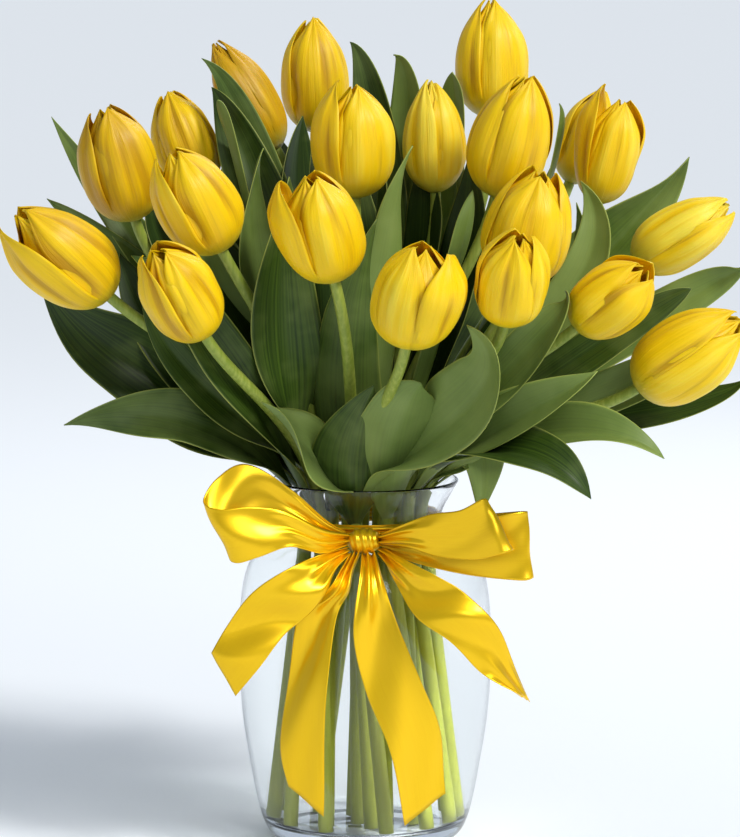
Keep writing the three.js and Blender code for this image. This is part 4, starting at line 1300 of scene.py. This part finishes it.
@dataclass
class Vase:
    """The glass vase and the water in it."""

    outline: Profile = (
        (42, 0),
        (48.5, 2),
        (53, 8),
        (56.6, 20),
        (60.4, 40),
        (64.6, 68),
        (66.3, 102),
        (64.4, 131),
        (59.5, 147.5),
        (50, 155.5),
        (41.5, 160.5),
        (39.3, 166),
        (41.2, 175),
        (48.6, 188.6),
    )
    wall: float = 3
    lip_wall: float = 1.5  # the wall thins from the shoulder to the lip
    floor: float = 10
    corner: float = 17  # the wall's inner face comes down to this height, then rounds into the floor
    thinning: tuple[float, float] = (145, 185)  # the heights between which the wall thins
    foot: Profile = ((0, 1), (24, 0.9), (36, 0.4), (40, 0))  # radius, and share of the punt's depth
    # How far in from the wall and up from the floor the corner's points are, of the glass and of the water.
    corner_steps: Profile = ((0.6, 4.2), (2.2, 1.8), (4.6, 0.5), (7, 0))
    water_steps: Profile = ((7, -0.1), (4.6, 0.4), (2.1, 1.7), (0.5, 4.1))
    meniscus: Profile = ((0, 0), (1.2, 0.7), (3, 1))  # in from the glass and down from the brim
    lip_steps: int = 9  # points round the lip
    sides: int = 128
    smoothing: int = 6
    water_level: float = 157
    overlap: float = 0.1  # mm that the water reaches into the glass, so that no air shows between them
    punt: float = 1.6  # hollow under the foot

    def faces(self) -> tuple[np.ndarray, np.ndarray]:
        """Gives the outer and the inner outline, both from foot to lip."""
        outer = smooth_line(np.array(self.outline, dtype=float), self.smoothing)
        along = np.gradient(outer, axis=0)
        along /= np.linalg.norm(along, axis=1, keepdims=True)
        low, high = self.thinning
        thinned = smooth((outer[:, 1] - low) / (high - low))
        wall = lerp(self.wall, self.lip_wall, thinned)[:, None]
        inner = outer + np.stack([-along[:, 1], along[:, 0]], axis=1) * wall
        return outer, inner[inner[:, 1] > self.corner]

    def glass_profile(self) -> list[tuple[float, float]]:
        """Gives the profile of the glass, from the middle of the foot round to the middle of the floor."""
        outer, inner = self.faces()
        lip, mouth = outer[-1], inner[-1]
        centre, spoke = (lip + mouth) / 2, (lip - mouth) / 2
        rise = np.array([-spoke[1], spoke[0]])
        turns = np.linspace(0, math.pi, self.lip_steps)[1:-1]
        rim = [centre + spoke * math.cos(a) + rise * math.sin(a) for a in turns]
        rounding = [(inner[0][0] - inwards, self.floor + up) for inwards, up in self.corner_steps]
        foot = [(r, self.punt * part) for r, part in self.foot]
        turned = [*foot, *outer.tolist(), *map(tuple, rim), *inner[::-1].tolist(), *rounding]
        return [(float(r), float(z)) for r, z in [*turned, (0, self.floor)]]

    def water_profile(self) -> list[tuple[float, float]]:
        """Gives the profile of the water, from the middle of the floor round to the middle of its top."""
        _, inner = self.faces()
        corner = [(inner[0][0] - inwards, self.floor + up) for inwards, up in self.water_steps]
        below = [(0, self.floor - self.overlap), *corner]
        wet = [(r + self.overlap, z) for r, z in inner if z < self.water_level - 1]
        above = inner[len(wet)]
        edge = float(lerp(wet[-1][0], above[0], 0.5))
        top = [(edge - inwards, self.water_level - down) for inwards, down in self.meniscus]
        top += [(0, self.water_level - 1)]
        return [(float(r), float(z)) for r, z in [*below, *wet, *top]]

    def build(self, glass: bpy.types.Material, water: bpy.types.Material) -> None:
        """Builds the vase and the water.

        Args:
            glass: The vase's material.
            water: The water's material.
        """
        shell = Draft()
        shell.turned(self.glass_profile(), self.sides)
        settle(shell.piece("glass_vase", [glass]), "vase")
        body = Draft()
        body.turned(self.water_profile(), self.sides)
        settle(body.piece("vase_water", [water]), "water")


# Bow


Pair = tuple[tuple[float, float, float], tuple[float, float, float]]

RIBBONS: dict[str, list[Pair]] = {
    "bow_loop_left": [
        ((-8.9, -52, 168.5), (-8.9, -52, 162.6)),
        ((-22, -63, 173), (-22, -64, 160.5)),
        ((-40, -71, 183), (-38, -73, 165)),
        ((-58, -77, 186), (-53, -80, 161)),
        ((-73, -78, 185), (-64, -81, 158)),
        ((-80, -72, 189), (-69, -76, 161)),
        ((-74, -64, 199), (-65, -68, 173)),
        ((-60, -59, 205), (-52, -63, 180)),
        ((-38, -55.5, 192), (-36, -58, 174)),
        ((-20, -52.5, 176), (-20, -54, 166)),
        ((-8.9, -48.5, 168.5), (-8.9, -48.5, 163)),
    ],
    "bow_loop_right": [
        ((8, -53, 168.6), (8, -53, 163)),
        ((20, -61, 175), (21, -62, 163)),
        ((34, -67, 181), (38, -69, 159)),
        ((48, -74, 184), (56, -77, 159)),
        ((58, -79, 190), (68, -83, 163)),
        ((63, -76, 190), (73, -79, 164)),
        ((58, -70, 185), (66, -73, 161)),
        ((40, -63, 179), (44, -65.5, 161)),
        ((20, -55.5, 172), (20, -56.5, 163)),
        ((8, -50.4, 168.4), (8, -50.4, 163)),
    ],
    "bow_loop_back": [
        ((8, -48, 168), (8, -48, 160)),
        ((26, -54, 171), (26, -56, 154)),
        ((52, -60, 176), (52, -63, 149)),
        ((76, -63, 181), (78, -68, 147)),
        ((84, -59, 181), (84, -64, 148)),
        ((76, -53, 180), (77, -58, 151)),
        ((52, -50, 177), (52, -52, 152)),
        ((26, -48.5, 171), (26, -50, 156)),
        ((8, -45.6, 168), (8, -45.6, 161)),
    ],
    "bow_tail_far_left": [
        ((-8.9, -51, 161.4), (-8.9, -51, 157.6)),
        ((-24, -64, 159), (-17, -62, 148.5)),
        ((-41, -71, 153), (-27, -71, 132)),
        ((-57, -74, 142), (-41, -74, 120)),
        ((-70, -73, 124), (-53, -74, 104)),
        ((-77, -71, 111), (-65, -73, 89)),
    ],
    "bow_tail_left": [
        ((-7, -50.5, 158.1), (-2.4, -50.5, 158.1)),
        ((-12, -61, 151.5), (-6, -61.5, 150.5)),
        ((-18, -67, 143), (-8, -67.5, 141)),
        ((-32, -61, 130), (-14, -66, 128)),
        ((-38, -60, 100), (-17, -68.5, 98)),
        ((-42, -59, 65), (-19, -68, 64)),
        ((-38, -60, 40), (-21, -67, 25)),
    ],
    "bow_tail_right": [
        ((-1.4, -51, 158.1), (5.4, -51, 158.1)),
        ((-2.5, -63.5, 147), (9, -64.5, 147)),
        ((-6, -70, 120), (16, -68, 126)),
        ((0, -70.5, 92), (27, -67, 98)),
        ((11, -70, 62), (38, -63, 68)),
        ((20, -69, 21), (41, -61, 36)),
    ],
    "bow_tail_far_right": [
        ((8, -51.5, 161.4), (8, -51.5, 157.4)),
        ((22, -68, 157), (15, -67, 146)),
        ((38, -77, 150), (27, -77, 130)),
        ((52, -79, 141), (42, -82, 119)),
        ((66, -75, 122), (57, -84, 104)),
        ((84, -64, 84), (77, -80, 90)),
    ],
}


@dataclass
class Bow:
    """The satin ribbon round the neck, with its knot, loops and tails."""

    width: float = 27
    thick: float = 0.4
    steps: int = 10  # between two pairs of edge points
    columns: int = 33
    pleats: tuple[float, float] = (2.1, 4.3)  # wide and narrow folds where the ribbon is gathered
    pleat_depth: tuple[float, float] = (1.5, 0.5)
    sag: float = 3.0  # how far a tail billows away from the vase, on average
    sway: float = 1.5  # how far a loop's ribbon swings in and out
    slack: float = 3.0  # how much narrower than flat a ribbon gets before it folds
    crowded: float = 0.7  # the share of its width that it loses until its folds are full
    calm_end: float = 0.6  # how much less a tail billows at its end
    second_swing: float = 0.3  # how strong the finer swing is, against the first
    knot_at: tuple[float, float, float] = (-0.5, -48.5, 164.2)
    knot_half: tuple[float, float, float] = (8, 6.2, 6.2)
    knot_narrow: float = 0.22
    knot_fold: float = 0.45
    knot_wraps: float = 4.5  # half turns of its folds, from one end to the other
    knot_drift: float = 0.8  # how far its folds wander, in radians
    knot_skew: float = 0.5  # how far its ends swing sideways
    band_low: float = 160.6
    band_high: float = 171
    band_folds: float = 4
    band_depth: float = 1.2
    band_drift: float = 0.9  # how far its folds wander, in radians
    band_grid: tuple[int, int] = (57, 145)  # points up the band and round it
    knot_grid: tuple[int, int] = (49, 65)  # points along the knot and round it

    def strip(self, pairs: Sequence[Pair], k: int, hangs: bool) -> Points:
        """Gives the middle face of a strip.

        Args:
            pairs: Its edge points, from the knot outwards.
            k: Its number, which sets its folds.
            hangs: Whether it is a tail.

        Returns:
            The grid of points.
        """
        first, second = (
            smooth_line(np.array([pair[e] for pair in pairs], dtype=float), self.steps)
            for e in range(2)
        )
        v = np.linspace(0, 1, self.columns)[None, :, None]
        flat = first[:, None, :] * (1 - v) + second[:, None, :] * v
        along = np.gradient(first + second, axis=0)
        over = second - first
        span = np.linalg.norm(over, axis=1)
        off = np.cross(along, over)
        off /= np.linalg.norm(off, axis=1, keepdims=True)
        gathered = smooth((self.width - span - self.slack) / (self.width * self.crowded))[:, None]
        u = v[..., 0] * 2 - 1
        way = np.linspace(0, 1, len(first))[:, None]
        folds = sum(
            deep * gathered * np.sin(math.pi * many * u + 3 * sway(k + many) + 1.5 * way)
            for many, deep in zip(self.pleats, self.pleat_depth)
        )
        swing = np.sin(11 * way + 1.2 * u + 3 * sway(k))
        swing = swing + self.second_swing * np.sin(17 * way + 4 * u + 5 * sway(k + 2))
        outwards = np.where((off * [1, 1, 0] * (first + second)).sum(axis=1) < 0, -1, 1)[:, None]
        billow = self.sag * (1 + swing) * (1 - self.calm_end * way**6) * outwards
        cup = (billow if hangs else self.sway * swing) * (1 - gathered)
        return flat + (folds + cup)[..., None] * off[:, None, :]

    def length(self, grid: Points) -> float:
        """Gives the length of a strip along its middle, in millimetres."""
        middle = grid[:, self.columns // 2]
        return float(np.linalg.norm(np.diff(middle, axis=0), axis=1).sum())

    def band(self) -> tuple[Points, float]:
        """Gives the gathered ribbon round the neck, and its length."""
        outline = smooth_line(np.array(Vase.outline, dtype=float), Vase.smoothing)
        rows, columns = self.band_grid
        heights = np.linspace(self.band_low, self.band_high, rows)
        radii = np.interp(heights, outline[:, 1], outline[:, 0]) + SEAT_GAP + self.thick
        a = np.linspace(0, 2 * math.pi, columns)
        share_up = np.linspace(0, 1, rows)[:, None]
        phase = 2 * math.pi * self.band_folds * share_up + self.band_drift * np.sin(3 * a)[None, :]
        r = radii[:, None] + self.band_depth * (1 - np.cos(phase))
        z = np.broadcast_to(heights[:, None], r.shape)
        grid = np.stack([r * np.cos(a), r * np.sin(a), z], axis=2)
        return grid, float(2 * math.pi * radii.mean())

    def knot(self) -> Points:
        """Gives the skin of the knot: the ribbon wound round the crossing, with folds that run over it."""
        x = np.linspace(-1, 1, self.knot_grid[0])[:, None]
        a = np.linspace(0, 2 * math.pi, self.knot_grid[1])[None, :]
        swell = np.sqrt(np.clip(1 - np.abs(x) ** 6, 0.02, 1)) * (1 - self.knot_narrow * x * x)
        wander = self.knot_drift * np.sin(a)
        folds = self.knot_fold * np.cos(self.knot_wraps * math.pi * x + wander) * (1 - x**4)
        across, back, up = self.knot_half
        grid = np.stack(
            [
                across * x + self.knot_skew * np.sin(2 * a),
                (back * swell + folds) * np.cos(a),
                (up * swell + folds) * np.sin(a),
            ],
            axis=2,
        )
        return grid + np.array(self.knot_at)

    def lay(self, name: str, node: str, grid: Points, satin: bpy.types.Material) -> bpy.types.Object:
        """Makes a stretch of ribbon and puts it in its node's place.

        Args:
            name: The piece's name.
            node: The node that it stands for.
            grid: Its middle face.
            satin: Its material.

        Returns:
            The piece.
        """
        draft = Draft()
        draft.blade(grid, np.full(grid.shape[:2], self.thick / 2))
        return settle(draft.piece(name, [satin]), node)

    def build(self, satin: bpy.types.Material) -> None:
        """Args:
            satin: The ribbon's material.
        """
        for k, (name, pairs) in enumerate(RIBBONS.items()):
            grid = self.strip(pairs, k, "tail" in name)
            piece = self.lay(f"{name}_satin", name, grid, satin)
            size = (self.width * MM, round(self.length(grid)) * MM)
        tied = self.lay("knot_satin", "bow_knot", self.knot(), satin)
        grid, around = self.band()
        band = self.lay("band_satin", "ribbon_band", grid, satin)
        size = (self.width * MM, round(around) * MM)


# Studio


@dataclass
class Studio:
    """The pale floor, the soft lights and the camera."""

    lens: float = 158.24
    sensor: float = 36.0
    at: tuple[float, float, float] = (0.0026, -1.9, 0.456)
    pitch: float = 7.05  # degrees down
    reach: float = 90.0  # of the floor to each side, in metres, so that it fills the picture
    clip: float = 200.0  # how far the camera sees, in metres
    aim: tuple[float, float, float] = (0, 0, 0.25)  # where the soft lights look, in metres

    def floor(self, finish: bpy.types.Material) -> None:
        """Lays the floor.

        Args:
            finish: The floor's material.
        """
        far = self.reach
        mesh = bpy.data.meshes.new("floor")
        corners = [(-far, -far, 0), (far, -far, 0), (far, far, 0), (-far, far, 0)]
        mesh.from_pydata(corners, [], [(0, 1, 2, 3)])
        mesh.materials.append(finish)
        new_object("floor", mesh)

    def lamp(self, name: str, kind: str, towards: Vector, power: float, colour: int) -> bpy.types.Object:
        """Hangs a lamp.

        Args:
            name: Its name.
            kind: Its kind, SUN or AREA.
            towards: The direction that it shines in.
            power: Its power in watts, or the sun's in watts a square metre.
            colour: Its colour as sRGB hex.

        Returns:
            The lamp.
        """
        data = bpy.data.lights.new(name, kind)
        data.energy = power
        data.color = linear(colour)[:3]
        lamp = new_object(name, data)
        lamp.rotation_euler = towards.to_track_quat("-Z", "Y").to_euler()
        return lamp

    def sun(self, at: Sequence[float], strength: float, angle: float, colour: int) -> None:
        """Hangs a broad light far off, so that it lights the whole floor evenly.

        Args:
            at: A point in the direction that it shines from.
            strength: Its strength, in watts a square metre.
            angle: How wide it looks, in degrees.
            colour: Its colour as sRGB hex.
        """
        self.lamp("key", "SUN", -Vector(at), strength, colour).data.angle = math.radians(angle)

    def light(self, name: str, at: Sequence[float], size: float, power: float, colour: int) -> None:
        """Hangs a soft light that looks at the middle of the bunch.

        Args:
            name: Its name.
            at: Its place, in metres.
            size: The length of its sides, in metres.
            power: Its power, in watts.
            colour: Its colour as sRGB hex.
        """
        lamp = self.lamp(name, "AREA", Vector(self.aim) - Vector(at), power, colour)
        lamp.data.size = size
        lamp.location = at

    def room(self, colour: int, strength: float, seen: float) -> None:
        """Fills the room with an even light.

        Args:
            colour: Its colour as sRGB hex.
            strength: How strongly it lights the pieces.
            seen: How bright it looks behind them, and through the glass and mirrored in it.
        """
        world = bpy.data.worlds.new("room")
        world.use_nodes = True
        tree = world.node_tree
        tree.nodes.clear()
        light = {"Color": linear(colour), "Strength": strength}
        lit = add_node(tree, "ShaderNodeBackground", light)
        shown = add_node(tree, "ShaderNodeBackground", {**light, "Strength": seen})
        ray = add_node(tree, "ShaderNodeLightPath")
        seen_ones = {0: ray.outputs["Is Camera Ray"], 1: ray.outputs["Is Singular Ray"]}
        looked = add_node(tree, "ShaderNodeMath", {"operation": "MAXIMUM"}, seen_ones)
        both = add_node(tree, "ShaderNodeMixShader", links={0: looked, 1: lit, 2: shown})
        add_node(tree, "ShaderNodeOutputWorld", links={"Surface": both})
        bpy.context.scene.world = world

    def camera(self) -> None:
        """Stands the camera where the photograph was taken from."""
        data = bpy.data.cameras.new("camera")
        data.lens = self.lens
        data.sensor_fit = "AUTO"
        data.sensor_width = self.sensor
        data.clip_end = self.clip
        camera = new_object("camera", data)
        camera.location = self.at
        camera.rotation_euler = (math.radians(90 - self.pitch), 0, 0)
        bpy.context.scene.camera = camera

    def build(self) -> None:
        """Sets up the room. The plain view keeps a strong yellow as strong as it is."""
        bpy.context.scene.view_settings.view_transform = "Standard"
        self.camera()
        self.floor(FloorFinish().build())
        self.room(colour=0xEAF5FF, strength=0.37, seen=0.92)
        self.sun(at=(1.7, -1.3, 1.9), strength=2.5, angle=16, colour=0xFFFDF8)
        self.light("front", at=(0.75, -2.0, 1.35), size=0.8, power=9, colour=0xF6FAFF)
        self.light("rim", at=(0.8, 1.3, 1.5), size=0.8, power=9, colour=0xFFFFFF)


def main() -> None:
    """Builds the studio, the vase, the tulips and the bow."""
    logging.basicConfig(level=logging.INFO, format="%(message)s")
    Studio().build()
    Vase().build(GLASS.build(), WATER.build())
    LeafyStems().build(StemFinish().build(), LeafFinish().build())
    Blooms().build(PetalFinish().build(), AntherFinish().build())
    Bow().build(SatinFinish().build())


if __name__ == "__main__":
    main()
